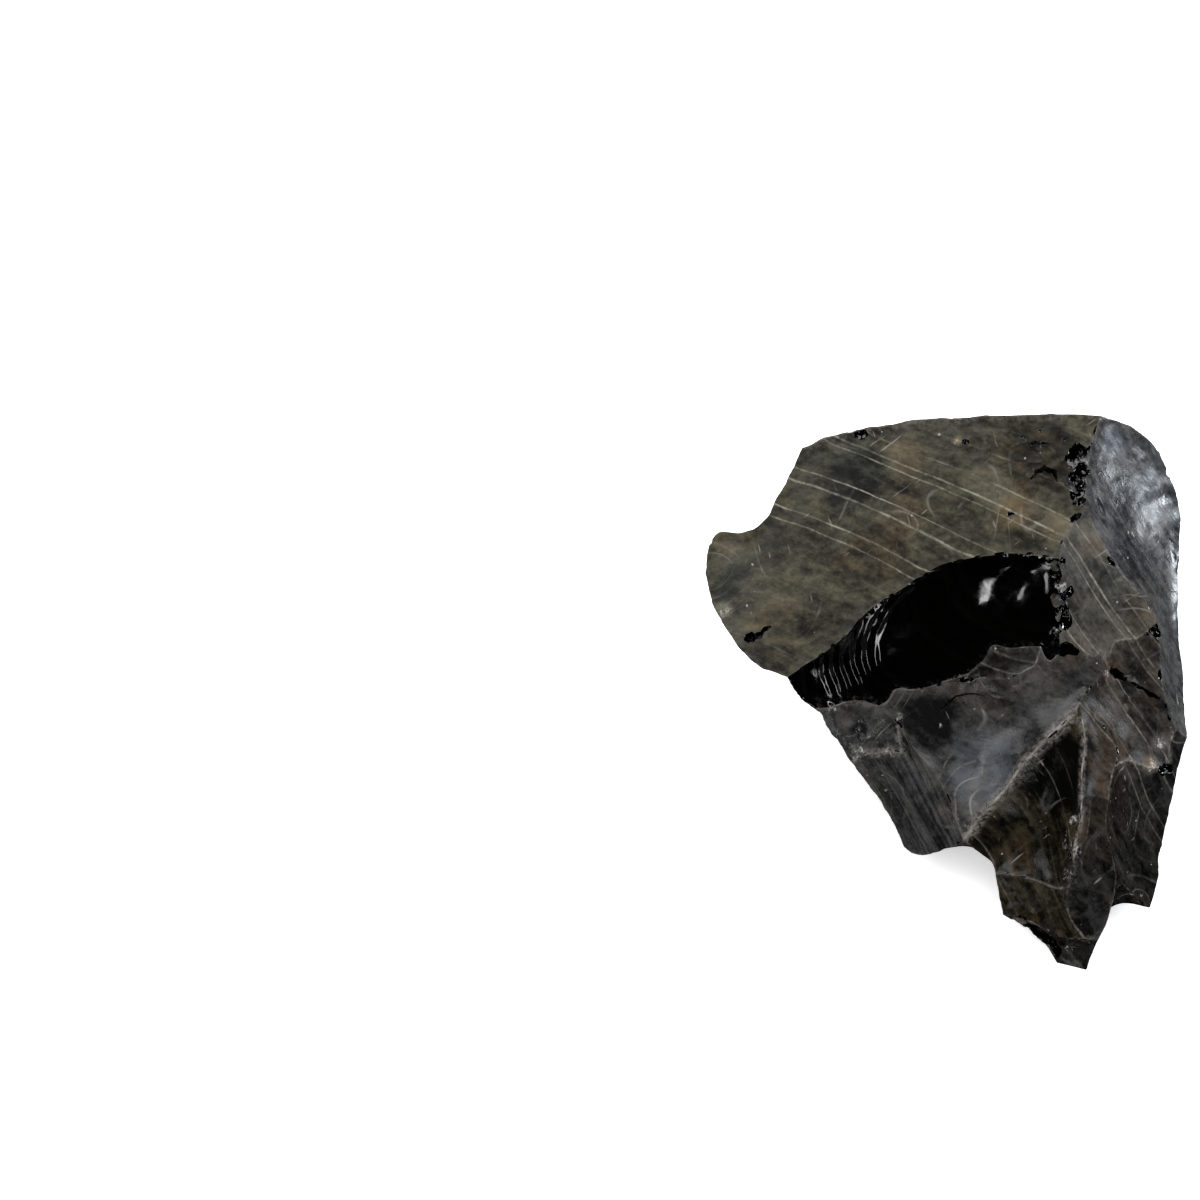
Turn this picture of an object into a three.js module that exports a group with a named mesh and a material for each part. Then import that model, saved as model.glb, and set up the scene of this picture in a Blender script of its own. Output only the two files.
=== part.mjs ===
// A chunk of obsidian, knapped off a larger block: one piece of natural volcanic glass.
//
// Glass breaks in shallow curved scars that meet along sharp ridges, so the stone is built the
// way it broke. Its corners are named points, its ridges are curves between corners, and each
// scar is a skin stretched over a loop of ridges and pressed in by the depth of its hollow.
// Millimetres, +Z up. The stone stands on its flat base; +X is its right, -Y its front.

import * as THREE from 'three';
import { mergeVertices } from 'three/addons/utils/BufferGeometryUtils.js';

// Driving dimensions
const WIDTH = 90;             // from the wing tip to the right wall
const SET_OUT_WIDTH = 85;     // the same distance in the points below
const GRAIN = 2.2;            // spacing of the mesh points, at the set-out size
const INNER_CLEARANCE = 0.62; // least distance from an inner point to its outline, in grains
const WAVER = 0.22;           // how far a ridge strays from its smooth course
const SKIN_PASSES = 400;      // sweeps that settle each stretched skin
const INSERTIONS_PER_ROUNDING = 8; // inner points added between two clean-ups of the triangles
const ROUNDING = 1e-9;        // numbers closer to zero than this count as zero
const MERGE_DISTANCE = 1e-4;  // corner points closer than this are one

// Corners where three or more ridges meet
const CORNERS = {
  // crown and right side
  brow: [-24.3, 41.8, 52.2],
  peak: [27, 38, 64.5],
  shoulder: [38.5, 38, 55.5],
  rim_mid: [42.5, 25, 41.5],
  rim_low: [43.5, -0.5, 22.5],
  rim_chip: [37.5, 10.5, 38.5],
  saddle: [24, 23, 57.5],
  hub: [19, 15, 53],

  // left wing
  wing_tip: [-41.5, 25.5, 37],
  wing_root: [-27.5, 4, 34],

  // the fresh scoop and the sill under it
  sill: [19.5, 5.5, 41.5],
  flake_right: [16.5, 6.5, 39.5],
  flake_left: [4.5, 6.5, 32],
  flake_toe: [15.5, 4, 37],
  lip: [-11, 4, 26],
  scoop_toe: [-21, 3, 24.5],

  // the belly and its left lobe
  pleat: [-7.5, 1, 24.5],
  step: [-16.5, 0, 17],
  lobe_left: [-6, -12, 5.5],
  lobe_inner: [3.5, -17, 14.5],
  apron: [27, 6, 39],
  fork: [23, -2.5, 35],

  // the leg and the toe
  elbow: [30, -8, 28],
  ledge_end: [42, -4, 20],
  heel: [37, -23.5, 3],
  notch_top: [29.5, -24.5, 14.5],
  knee: [21.5, -26, 16.5],
  toe_crest: [20.5, -28, 13],
  chin: [24, -33, 7.5],
  toe_right: [26.5, -32.5, 6.5],
  toe_side: [10.5, -26.5, 5.5],
  band_side: [9, -21.5, 11],
  gap: [8.5, -19.5, 11.5],

  // left side and back
  flank: [-20.5, 17, 18.5],
  flank_fold: [-14.5, 7.5, 9.5],
  under_wing: [-31.5, 26, 22.5],
  back_left: [-24.5, 46.5, 28],
  back_mid: [2, 56, 33.5],
  back_right: [30, 50.5, 35.5],
  back_foot: [19, 54, 13],
  crown_fold: [1.5, 50.5, 48],

  // right side
  right_low: [38.5, 24.5, 18.5],
  wall_fold: [40, 3, 9.5],

  // outline of the flat base
  toe_tip: [25, -34.5, 0],
  toe_left: [20, -33, 0],
  base_front: [11, -10, 0],
  base_lobe: [-3.5, -2, 0],
  base_left: [-17, 18.5, 0],
  base_back_left: [-18.5, 37.5, 0],
  base_back: [5.5, 50.5, 0],
  base_back_right: [28, 45, 0],
  base_right: [35.5, 17, 0],
  base_heel: [32.5, -13, 0],
};

// Ridges that bend on their way: the points that each passes through, in order. Every other
// ridge runs straight between its two corners.
const BENDS = [
  // crown and right rim
  ['brow', 'peak', [
    [-19, 42.7, 54.4], [-12, 43.2, 56], [-1.5, 43, 58.5], [13.5, 40.5, 62], [22.5, 39, 64],
  ]],
  ['peak', 'shoulder', [[34, 39, 60]]],
  ['shoulder', 'rim_mid', [[40.5, 36, 52], [42.5, 32.5, 47.5]]],
  ['rim_mid', 'rim_low', [[41.9, 16, 36.5], [42.7, 7.5, 29]]],
  ['peak', 'saddle', [[25, 32.5, 62], [24, 27.5, 59.5]]],
  ['saddle', 'rim_chip', [[27, 19, 52.5], [30, 16.5, 48.5], [33.5, 14.5, 44.5], [37, 11.5, 40]]],
  ['rim_chip', 'rim_low', [[38.5, 3, 31.5], [40.5, -1, 26.5]]],

  // left wing, with its blunt tip and the nick above it
  ['wing_root', 'wing_tip', [[-33, 7, 34], [-38.5, 15.5, 34.5], [-40.5, 21, 35.5]]],
  ['wing_tip', 'brow', [
    [-41, 30, 39.5], [-39.5, 31.5, 41], [-36, 30, 42.5], [-33, 30, 43.5],
    [-30.2, 31.7, 45.6], [-29.2, 33.8, 46.8], [-26, 38.8, 49.8],
  ]],

  // the arched brim of the scoop, and its lower edge
  ['saddle', 'hub', [[21, 20, 55.5], [19.5, 17, 54]]],
  ['hub', 'wing_root', [
    [16.5, 16, 52.5], [11, 17.5, 51.5], [5, 18, 50], [-0.5, 18, 48],
    [-7, 15.5, 45], [-13.5, 12.5, 42], [-18, 8.5, 39], [-22.5, 6.5, 36.5],
  ]],
  ['hub', 'sill', [[20, 11.5, 49], [19.5, 8, 45]]],
  ['flake_right', 'flake_left', [[11, 8, 37], [7.5, 8, 34.5]]],
  ['flake_left', 'flake_toe', [[10.5, 4, 33.5]]],
  ['flake_left', 'lip', [[-2.5, 5.5, 29.5], [-7, 5, 28]]],
  ['lip', 'scoop_toe', [[-16, 4.5, 27], [-18.5, 4, 26]]],
  ['scoop_toe', 'wing_root', [[-25, 3.5, 28.5]]],

  // the belly and its left lobe
  ['sill', 'apron', [[23, 5.5, 40.5]]],
  ['apron', 'rim_chip', [[30.5, 8, 39.5], [35.5, 9, 38]]],
  ['apron', 'fork', [[27.5, 2.5, 37], [25, 0.5, 36]]],
  ['pleat', 'step', [[-9, -1.5, 20], [-13, -1, 18.5]]],
  ['pleat', 'lobe_inner', [[-4, -4.5, 22.5], [-0.5, -8, 20.5], [1.5, -12, 18.5]]],
  ['lobe_inner', 'lobe_left', [[1, -14.5, 8.5], [-4, -13.5, 5]]],
  ['lobe_left', 'step', [[-10.5, -5, 10.5]]],
  ['fork', 'lobe_inner', [
    [19, -6, 31.5], [15, -8.5, 29], [13, -10.5, 27], [10, -13, 23.5], [6.5, -15.5, 20],
  ]],

  // the leg and the toe
  ['fork', 'knee', [[23.5, -8, 32], [23, -13, 28.5], [22.5, -20, 23], [21.5, -23, 19.5]]],
  ['fork', 'elbow', [[26, -3.5, 33]]],
  ['elbow', 'notch_top', [[28, -14.5, 25], [27.5, -19, 21.5], [29, -23, 17]]],
  ['elbow', 'ledge_end', [[32, -8, 26], [36, -7.5, 23]]],
  ['ledge_end', 'heel', [[40.5, -9.5, 16], [38.5, -16.5, 10.5], [38, -21, 6]]],
  ['heel', 'notch_top', [[35, -24.5, 6]]],
  ['notch_top', 'toe_right', [[29, -28.5, 11]]],
  ['knee', 'notch_top', [[25, -24, 17]]],
  ['toe_crest', 'chin', [[21, -30.5, 11]]],
  ['band_side', 'toe_crest', [[13.5, -23.5, 12.5], [17.5, -25.5, 13]]],
  ['toe_side', 'chin', [[15, -28.5, 6.5], [19.5, -31.5, 6]]],
  ['toe_side', 'band_side', [[9.5, -24, 8.5]]],
  ['toe_left', 'toe_side', [[18, -30, 1.5]]],

  // left side and back
  ['flank', 'under_wing', [[-26.5, 20, 19.5]]],
  ['flank', 'flank_fold', [[-18.5, 12, 14]]],
  ['scoop_toe', 'flank_fold', [[-19, 4.5, 17]]],
  ['flank_fold', 'base_lobe', [[-9.5, 2.5, 3.5]]],
  ['under_wing', 'back_left', [[-30, 34.5, 22.5], [-27.5, 42, 24.5]]],
  ['brow', 'back_left', [[-24.5, 45.5, 41]]],
  ['back_left', 'crown_fold', [[-13, 51.5, 36], [-4, 51.5, 43]]],
  ['back_left', 'back_mid', [[-12, 54, 29.5]]],
  ['back_left', 'base_back_left', [[-22.5, 43, 12]]],
  ['crown_fold', 'peak', [[9.5, 46.5, 54.5], [19, 41, 60.5]]],
  ['crown_fold', 'back_mid', [[3.5, 54.5, 41]]],
  ['back_mid', 'back_right', [[16, 55.5, 33]]],
  ['back_mid', 'base_back', [[2.5, 55, 18], [4, 53.5, 8]]],
  ['back_right', 'shoulder', [[35.5, 45.5, 46]]],
  ['back_right', 'back_foot', [[24.5, 54, 24]]],

  // right side
  ['right_low', 'rim_mid', [[40.5, 26.5, 30]]],
  ['right_low', 'back_right', [[35.5, 38, 25.5]]],
  ['right_low', 'base_right', [[38, 20, 8]]],
  ['right_low', 'wall_fold', [[40.5, 15, 12]]],
  ['rim_low', 'wall_fold', [[42.5, 0.5, 16]]],
  ['wall_fold', 'heel', [[39, -9.5, 6]]],
];

// Scars: the corners round each one, anticlockwise from outside, and how deep it is hollowed
// below the skin stretched over its ridges. A bulge is a hollow below zero.
const SCARS = {
  // front
  banded_face: { hollow: -1.2, around: 'brow wing_tip wing_root hub saddle peak' },
  shoulder_face: { hollow: 1.0, around: 'peak saddle rim_chip rim_low rim_mid shoulder' },
  plank: { hollow: 0.6, around: 'saddle hub sill apron rim_chip' },
  scoop: { hollow: 3.2, around: 'hub wing_root scoop_toe lip flake_left flake_right sill' },
  edge_flake: { hollow: 0.3, around: 'flake_right flake_left flake_toe' },
  step_scar: { hollow: 0.4, around: 'scoop_toe step pleat lip' },
  ribbed_lobe: { hollow: 0.5, around: 'step lobe_left lobe_inner pleat' },
  belly: { hollow: 3.2, around: 'lip pleat lobe_inner fork apron sill flake_right flake_toe flake_left' },
  inner_shin: { hollow: 3.6, around: 'fork lobe_inner gap band_side toe_crest knee' },
  shin: { hollow: 0.7, around: 'fork knee notch_top elbow' },
  calf: { hollow: 1.2, around: 'elbow notch_top heel ledge_end' },
  elbow_face: { hollow: 0.8, around: 'apron fork elbow ledge_end rim_low rim_chip' },
  toe_cap: { hollow: -0.6, around: 'knee toe_crest chin toe_right notch_top' },
  toe_bands: { hollow: 0.3, around: 'band_side toe_side chin toe_crest' },
  toe_front: { hollow: 0.2, around: 'toe_side toe_left toe_tip toe_right chin' },

  // undersides seen from the front and the sides
  notch: { hollow: 1.5, around: 'notch_top toe_right toe_tip base_heel heel' },
  toe_inside: { hollow: 1.0, around: 'band_side gap base_front toe_left toe_side' },
  lobe_underside: { hollow: 2.0, around: 'lobe_inner lobe_left base_lobe base_front gap' },
  upper_flank: { hollow: 1.2, around: 'scoop_toe wing_root flank flank_fold' },
  front_flank: { hollow: 1.4, around: 'scoop_toe flank_fold base_lobe lobe_left step' },
  low_flank: { hollow: 1.0, around: 'flank base_left base_lobe flank_fold' },
  wing_underside: { hollow: 1.2, around: 'wing_root wing_tip under_wing flank' },

  // back and right
  wing_back: { hollow: 1.6, around: 'wing_tip brow back_left under_wing' },
  left_back: { hollow: 1.2, around: 'under_wing back_left base_back_left base_left flank' },
  crown_left: { hollow: 1.6, around: 'brow peak crown_fold back_left' },
  crown_back: { hollow: 3.0, around: 'peak shoulder back_right back_mid crown_fold' },
  back_flake: { hollow: 0.8, around: 'crown_fold back_mid back_left' },
  back_low: { hollow: 2.4, around: 'back_left back_mid base_back base_back_left' },
  back_plain: { hollow: 1.6, around: 'back_mid back_right back_foot base_back' },
  back_corner: { hollow: 0.8, around: 'back_right base_back_right back_foot' },
  back_sole: { hollow: 0.4, around: 'back_foot base_back_right base_back' },
  right_shoulder: { hollow: 1.2, around: 'shoulder rim_mid right_low back_right' },
  right_wall: { hollow: 1.8, around: 'rim_mid rim_low wall_fold right_low' },
  heel_wall: { hollow: 0.9, around: 'rim_low ledge_end heel wall_fold' },
  right_foot: { hollow: 0.8, around: 'wall_fold heel base_heel base_right right_low' },
  right_back: { hollow: 1.4, around: 'back_right right_low base_right base_back_right' },

  // the flat face that the stone stands on
  base: {
    hollow: 0,
    around: 'toe_left base_front base_lobe base_left base_back_left '
      + 'base_back base_back_right base_right base_heel toe_tip',
  },
};

const corner = (name) => new THREE.Vector3(...CORNERS[name]);

// Moves a ridge point a little off the smooth curve, as a broken edge strays, by waves of unequal
// lengths that never fall in step. The base stays flat.
function waver(point) {
  const { x, y, z } = point;
  const stray = new THREE.Vector3(
    Math.sin(1.9 * y + 2.3 * z) + Math.sin(0.83 * z + 1.37 * x),
    Math.sin(1.7 * z + 2.9 * x) + Math.sin(0.71 * x + 1.13 * y),
    z > 0 ? Math.sin(2.1 * x + 1.3 * y) + Math.sin(0.91 * y + 0.67 * z) : 0,
  );
  return point.clone().addScaledVector(stray, WAVER / 2);
}

// Points along the ridge from one corner to the next, the end corner left out. The two scars
// beside a ridge ask for it in opposite directions and get the same points.
function ridgePoints(from, to) {
  const [start, end] = from < to ? [from, to] : [to, from];
  const bend = BENDS.find(([a, b]) => (a === start && b === end) || (a === end && b === start));
  const via = (bend ? bend[2] : []).map((point) => new THREE.Vector3(...point));
  if (bend && bend[0] === end) via.reverse();
  const curve = new THREE.CatmullRomCurve3([corner(start), ...via, corner(end)], false, 'centripetal');
  const pieces = Math.max(1, Math.round(curve.getLength() / GRAIN));
  const points = curve.getSpacedPoints(pieces).map(waver);
  points[0].copy(corner(start));
  points[pieces].copy(corner(end));
  if (start !== from) points.reverse();
  points.pop();
  return points;
}

function scarOutline({ around }) {
  const names = around.split(' ');
  return names.flatMap((name, i) => ridgePoints(name, names[(i + 1) % names.length]));
}

// The mean plane of a loop of points: its middle, its outward normal and two axes in it.
function meanPlane(points) {
  const middle = new THREE.Vector3();
  const normal = new THREE.Vector3();
  points.forEach((point, i) => {
    const next = points[(i + 1) % points.length];
    middle.addScaledVector(point, 1 / points.length);
    normal.add(new THREE.Vector3().crossVectors(point, next));
  });
  normal.normalize();
  const helper = Math.abs(normal.z) > 0.9 ? new THREE.Vector3(1, 0, 0) : new THREE.Vector3(0, 0, 1);
  const across = new THREE.Vector3().crossVectors(helper, normal).normalize();
  const along = new THREE.Vector3().crossVectors(normal, across);
  return { middle, normal, across, along };
}

function isInside(point, outline) {
  let inside = false;
  outline.forEach((a, i) => {
    const b = outline[(i + 1) % outline.length];
    const crosses = a.y > point.y !== b.y > point.y;
    if (crosses && point.x < a.x + ((point.y - a.y) / (b.y - a.y)) * (b.x - a.x)) inside = !inside;
  });
  return inside;
}

function distanceToOutline(point, outline) {
  const distances = outline.map((a, i) => {
    const side = outline[(i + 1) % outline.length].clone().sub(a);
    const reach = point.clone().sub(a).dot(side) / side.lengthSq();
    return point.distanceTo(a.clone().addScaledVector(side, THREE.MathUtils.clamp(reach, 0, 1)));
  });
  return Math.min(...distances);
}

// Points of a triangular grid that lie inside an outline, clear of its edge.
function gridInside(outline) {
  const box = new THREE.Box2().setFromPoints(outline);
  const rowHeight = (GRAIN * Math.sqrt(3)) / 2;
  const rows = Math.ceil((box.max.y - box.min.y) / rowHeight);
  const columns = Math.ceil((box.max.x - box.min.x) / GRAIN) + 1;
  const points = [];
  for (let row = 0; row <= rows; row += 1) {
    for (let column = 0; column <= columns; column += 1) {
      const shift = row % 2 ? GRAIN / 2 : 0;
      const point = new THREE.Vector2(box.min.x + column * GRAIN - shift, box.min.y + row * rowHeight);
      const clear = distanceToOutline(point, outline) > INNER_CLEARANCE * GRAIN;
      if (clear && isInside(point, outline)) points.push(point);
    }
  }
  return points;
}

// Twice the area of triangle abc, positive where it turns anticlockwise.
const turn = (a, b, c) => (b.x - a.x) * (c.y - a.y) - (b.y - a.y) * (c.x - a.x);

// Whether d lies inside the circle through a, b and c, which turn anticlockwise.
function isInCircle(a, b, c, d) {
  const rows = [a, b, c].map((p) => [p.x - d.x, p.y - d.y, (p.x - d.x) ** 2 + (p.y - d.y) ** 2]);
  return new THREE.Matrix3().set(...rows.flat()).determinant() > ROUNDING;
}

// Turns the shared side of two neighbouring triangles wherever that makes both of them rounder.
function roundOff(triangles, points) {
  const owners = new Map();
  const claim = (index) => triangles[index].forEach((a, i) => {
    owners.set(`${a},${triangles[index][(i + 1) % 3]}`, index);
  });
  triangles.forEach((_, index) => claim(index));
  let turned = true;
  while (turned) {
    turned = false;
    for (let index = 0; index < triangles.length; index += 1) {
      for (let i = 0; i < 3; i += 1) {
        const [a, b, c] = [0, 1, 2].map((k) => triangles[index][(i + k) % 3]);
        const other = owners.get(`${b},${a}`);
        const d = other === undefined ? -1 : triangles[other].find((v) => v !== a && v !== b);
        const shared = d >= 0
          && turn(points[c], points[a], points[d]) > ROUNDING
          && turn(points[d], points[b], points[c]) > ROUNDING;
        if (shared && isInCircle(points[a], points[b], points[c], points[d])) {
          owners.delete(`${a},${b}`);
          owners.delete(`${b},${a}`);
          triangles[index] = [c, a, d];
          triangles[other] = [d, b, c];
          claim(index);
          claim(other);
          turned = true;
          break;
        }
      }
    }
  }
}

// Triangles that fill an outline and use every point inside it.
function triangulate(outline, inner) {
  const points = [...outline, ...inner];
  const triangles = THREE.ShapeUtils.triangulateShape(outline, []);
  inner.forEach((point, i) => {
    const added = outline.length + i;
    const holds = ([a, b, c]) => turn(points[a], points[b], point) >= 0
      && turn(points[b], points[c], point) >= 0
      && turn(points[c], points[a], point) >= 0;
    const [a, b, c] = triangles.splice(triangles.findIndex(holds), 1)[0];
    triangles.push([a, b, added], [b, c, added], [c, a, added]);
    if (i % INSERTIONS_PER_ROUNDING === 0) roundOff(triangles, points);
  });
  roundOff(triangles, points);
  return triangles;
}

// Settles one value for each point of a skin: those on the outline keep theirs, and every inner
// one becomes the mean of its neighbours plus a lift.
function settle(values, triangles, outlineCount, lift) {
  const neighbours = values.map(() => new Set());
  triangles.forEach((triangle) => {
    triangle.forEach((a) => triangle.forEach((b) => a !== b && neighbours[a].add(b)));
  });
  for (let pass = 0; pass < SKIN_PASSES; pass += 1) {
    for (let i = outlineCount; i < values.length; i += 1) {
      const sum = [...neighbours[i]].reduce((total, j) => total + values[j], 0);
      values[i] = sum / neighbours[i].size + lift;
    }
  }
  return values;
}

// One scar's triangles, as a flat list of their corner points.
function scarSkin(scar) {
  const rim = scarOutline(scar);
  const { middle, normal, across, along } = meanPlane(rim);
  const offsets = rim.map((point) => point.clone().sub(middle));
  const outline = offsets.map((offset) => new THREE.Vector2(offset.dot(across), offset.dot(along)));
  const inner = gridInside(outline);
  const triangles = triangulate(outline, inner);

  const rest = inner.map(() => 0);
  const heights = settle([...offsets.map((o) => o.dot(normal)), ...rest], triangles, rim.length, 0);
  const sags = settle([...rim.map(() => 0), ...rest], triangles, rim.length, 1);
  const deepest = Math.max(...sags, 1);
  const lifted = inner.map((point, i) => {
    const height = heights[rim.length + i] - (scar.hollow * sags[rim.length + i]) / deepest;
    return middle.clone()
      .addScaledVector(across, point.x)
      .addScaledVector(along, point.y)
      .addScaledVector(normal, height);
  });
  const points = [...rim, ...lifted];
  return triangles.flatMap((triangle) => triangle.map((i) => points[i]));
}

// The whole stone, with its origin at the middle of its base.
function stoneGeometry() {
  const soup = new THREE.BufferGeometry().setFromPoints(Object.values(SCARS).flatMap(scarSkin));
  soup.scale(WIDTH / SET_OUT_WIDTH, WIDTH / SET_OUT_WIDTH, WIDTH / SET_OUT_WIDTH);
  soup.computeBoundingBox();
  const { min, max } = soup.boundingBox;
  soup.translate(-(min.x + max.x) / 2, -(min.y + max.y) / 2, -min.z);
  return mergeVertices(soup, MERGE_DISTANCE);
}

const obsidian = new THREE.MeshStandardMaterial({ color: 0x1d1b19, roughness: 0.35, metalness: 0 });
const chunk = new THREE.Mesh(stoneGeometry(), obsidian);
chunk.name = 'obsidian_chunk';

const group = new THREE.Group();
group.add(chunk);
export default group;
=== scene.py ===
"""The looks of the obsidian chunk: its fine relief, chipped ridges and glass finishes, on a pale floor."""
import heapq
import math
import random

import bmesh
import bpy
import numpy as np
from mathutils import Matrix, Vector, kdtree, noise
from mathutils.bvhtree import BVHTree


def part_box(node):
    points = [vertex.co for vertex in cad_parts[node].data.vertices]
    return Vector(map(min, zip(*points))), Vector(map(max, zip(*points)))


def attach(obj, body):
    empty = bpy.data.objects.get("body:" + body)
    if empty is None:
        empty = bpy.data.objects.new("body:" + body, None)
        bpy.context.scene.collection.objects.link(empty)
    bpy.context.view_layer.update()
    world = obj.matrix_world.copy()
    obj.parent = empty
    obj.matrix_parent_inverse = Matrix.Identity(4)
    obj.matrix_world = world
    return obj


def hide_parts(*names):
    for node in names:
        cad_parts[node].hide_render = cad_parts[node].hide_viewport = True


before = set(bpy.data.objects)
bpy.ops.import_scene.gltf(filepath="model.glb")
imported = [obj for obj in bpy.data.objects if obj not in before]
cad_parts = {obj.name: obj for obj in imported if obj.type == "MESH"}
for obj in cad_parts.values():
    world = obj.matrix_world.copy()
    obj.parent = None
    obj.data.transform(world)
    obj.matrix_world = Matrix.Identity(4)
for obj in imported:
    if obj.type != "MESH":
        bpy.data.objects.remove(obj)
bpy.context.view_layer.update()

MM = 0.001
NODE = "obsidian_chunk"
LOW, HIGH = (np.array(corner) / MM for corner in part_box(NODE))
SPAN = HIGH - LOW


def at(across, back, up):
    """A place in the CAD box, in millimetres, from its fractions of the box: 0 is left, front or bottom."""
    return LOW + SPAN * np.array([across, back, up])


# ---- The scars: a point on each, the finish it has, and the waves that the blow sent through it ----

SCARS = {
    "banded_face": ([(0.32, 0.69, 0.77)], "olive"),
    "shoulder_face": ([(0.88, 0.69, 0.80)], "slate"),
    "plank": ([(0.78, 0.51, 0.69)], "ash"),
    "scoop": ([(0.47, 0.56, 0.56), (0.58, 0.50, 0.57)], "fresh"),
    "edge_flake": ([(0.62, 0.45, 0.55)], "pitch"),
    "step_scar": ([(0.33, 0.40, 0.34)], "smoke"),
    "ribbed_lobe": ([(0.43, 0.31, 0.24), (0.405, 0.358, 0.326)], "ribbed"),
    "belly": ([(0.57, 0.35, 0.38)], "smoke"),
    "inner_shin": ([(0.67, 0.20, 0.26)], "amber"),
    "shin": ([(0.78, 0.34, 0.51), (0.78, 0.26, 0.43), (0.78, 0.21, 0.39)], "ink"),
    "calf": ([(0.87, 0.22, 0.27)], "pitch"),
    "elbow_face": ([(0.86, 0.39, 0.49)], "ink"),
    "toe_cap": ([(0.78, 0.07, 0.20)], "pitch"),
    "toe_bands": ([(0.65, 0.09, 0.13)], "amber"),
    "toe_front": ([(0.75, 0.02, 0.06)], "pitch"),
    "notch": ([(0.82, 0.09, 0.09)], "pitch"),
    "toe_inside": ([(0.63, 0.15, 0.09)], "amber"),
    "lobe_underside": ([(0.55, 0.27, 0.09)], "smoke"),
    "upper_flank": ([(0.27, 0.49, 0.28)], "smoke"),
    "front_flank": ([(0.34, 0.41, 0.18)], "ribbed"),
    "low_flank": ([(0.32, 0.52, 0.10)], "smoke"),
    "wing_underside": ([(0.12, 0.58, 0.45)], "pitch"),
    "wing_back": ([(0.14, 0.76, 0.52)], "slate"),
    "left_back": ([(0.23, 0.71, 0.20)], "ink"),
    "crown_left": ([(0.32, 0.88, 0.70)], "smoke"),
    "crown_back": ([(0.72, 0.88, 0.70)], "fresh"),
    "back_flake": ([(0.47, 0.97, 0.58)], "slate"),
    "back_low": ([(0.38, 0.89, 0.23)], "ribbed"),
    "back_plain": ([(0.64, 0.97, 0.35)], "smoke"),
    "back_corner": ([(0.77, 0.94, 0.24)], "slate"),
    "back_sole": ([(0.69, 0.93, 0.08)], "ink"),
    "right_shoulder": ([(0.92, 0.79, 0.58)], "smoke"),
    "right_wall": ([(0.95, 0.52, 0.32)], "jet"),
    "heel_wall": ([(0.95, 0.33, 0.20)], "smoke"),
    "right_foot": ([(0.92, 0.49, 0.09)], "smoke"),
    "right_back": ([(0.86, 0.77, 0.20)], "smoke"),
    "base": ([(0.58, 0.66, 0.00)], "smoke"),
}
SCAR_NAMES = list(SCARS)
FIRST_UNSEEN = SCAR_NAMES.index("toe_inside")   # the scars from here on face away from the front
FINISHES = ["olive", "slate", "ash", "smoke", "ribbed", "amber", "ink", "pitch", "jet", "fresh"]

# Waves in a scar: where the blow fell, the distances from there where they start and stop, how
# far apart their crests are at the start and at the end, and how deep they are (millimetres).
# Where the waves fill only a part of the scar, the middle of that part and its reach follow.
WAVES = {
    "banded_face": [((0.80, 0.62, 0.90), 30, 75, 9, 6, 0.10)],
    "shoulder_face": [((0.75, 0.80, 0.98), 3, 40, 9, 6, 0.06)],
    "scoop": [
        ((0.86, 0.56, 0.62), 8, 36, 5.0, 3.4, 0.02),
        ((0.515, 0.479, 0.542), 12.5, 27, 2.6, 1.7, 0.22, (0.330, 0.500, 0.570), 14),
    ],
    "step_scar": [((0.30, 0.40, 0.44), 2, 14, 2.6, 2.2, 0.12)],
    "belly": [((0.86, 0.45, 0.60), 12, 60, 9, 6, 0.22)],
    "inner_shin": [((0.76, 0.32, 0.52), 6, 50, 8, 6, 0.12)],
    "calf": [((0.85, 0.28, 0.42), 3, 30, 6, 5, 0.10)],
    "elbow_face": [((0.78, 0.36, 0.54), 4, 30, 6, 5, 0.08)],
    "toe_cap": [((0.74, 0.10, 0.26), 2, 14, 3, 3, 0.08)],
    "toe_bands": [((0.62, 0.14, 0.18), 1, 16, 2.4, 2.4, 0.16)],
    "wing_underside": [((0.12, 0.50, 0.50), 4, 30, 5, 4, 0.25)],
    "wing_back": [((0.16, 0.86, 0.70), 6, 40, 6, 4.5, 0.30)],
    "left_back": [((0.20, 0.88, 0.42), 6, 45, 7, 5, 0.30)],
    "crown_left": [((0.55, 0.93, 0.80), 5, 45, 6, 4, 0.35)],
    "crown_back": [((0.80, 0.82, 0.96), 6, 50, 6, 3.6, 0.40)],
    "back_flake": [((0.50, 0.96, 0.72), 3, 24, 4, 3, 0.22)],
    "back_low": [((0.20, 0.90, 0.45), 8, 60, 8, 4.5, 0.40)],
    "back_plain": [((0.82, 0.95, 0.52), 6, 50, 7, 4, 0.30)],
    "back_corner": [((0.80, 0.90, 0.50), 6, 40, 5, 4, 0.22)],
    "right_shoulder": [((0.96, 0.90, 0.80), 5, 45, 6, 4, 0.30)],
    "right_wall": [((0.98, 0.70, 0.62), 8, 60, 7, 4, 0.35)],
    "right_foot": [((0.96, 0.40, 0.20), 4, 40, 5, 4, 0.22)],
    "right_back": [((0.90, 0.90, 0.50), 8, 50, 6, 4, 0.30)],
    "upper_flank": [((0.16, 0.44, 0.52), 4, 40, 5, 4, 0.22)],
    "front_flank": [((0.26, 0.40, 0.34), 3, 30, 4, 3, 0.20)],
    "low_flank": [((0.24, 0.60, 0.26), 4, 35, 5, 4, 0.22)],
}

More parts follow.
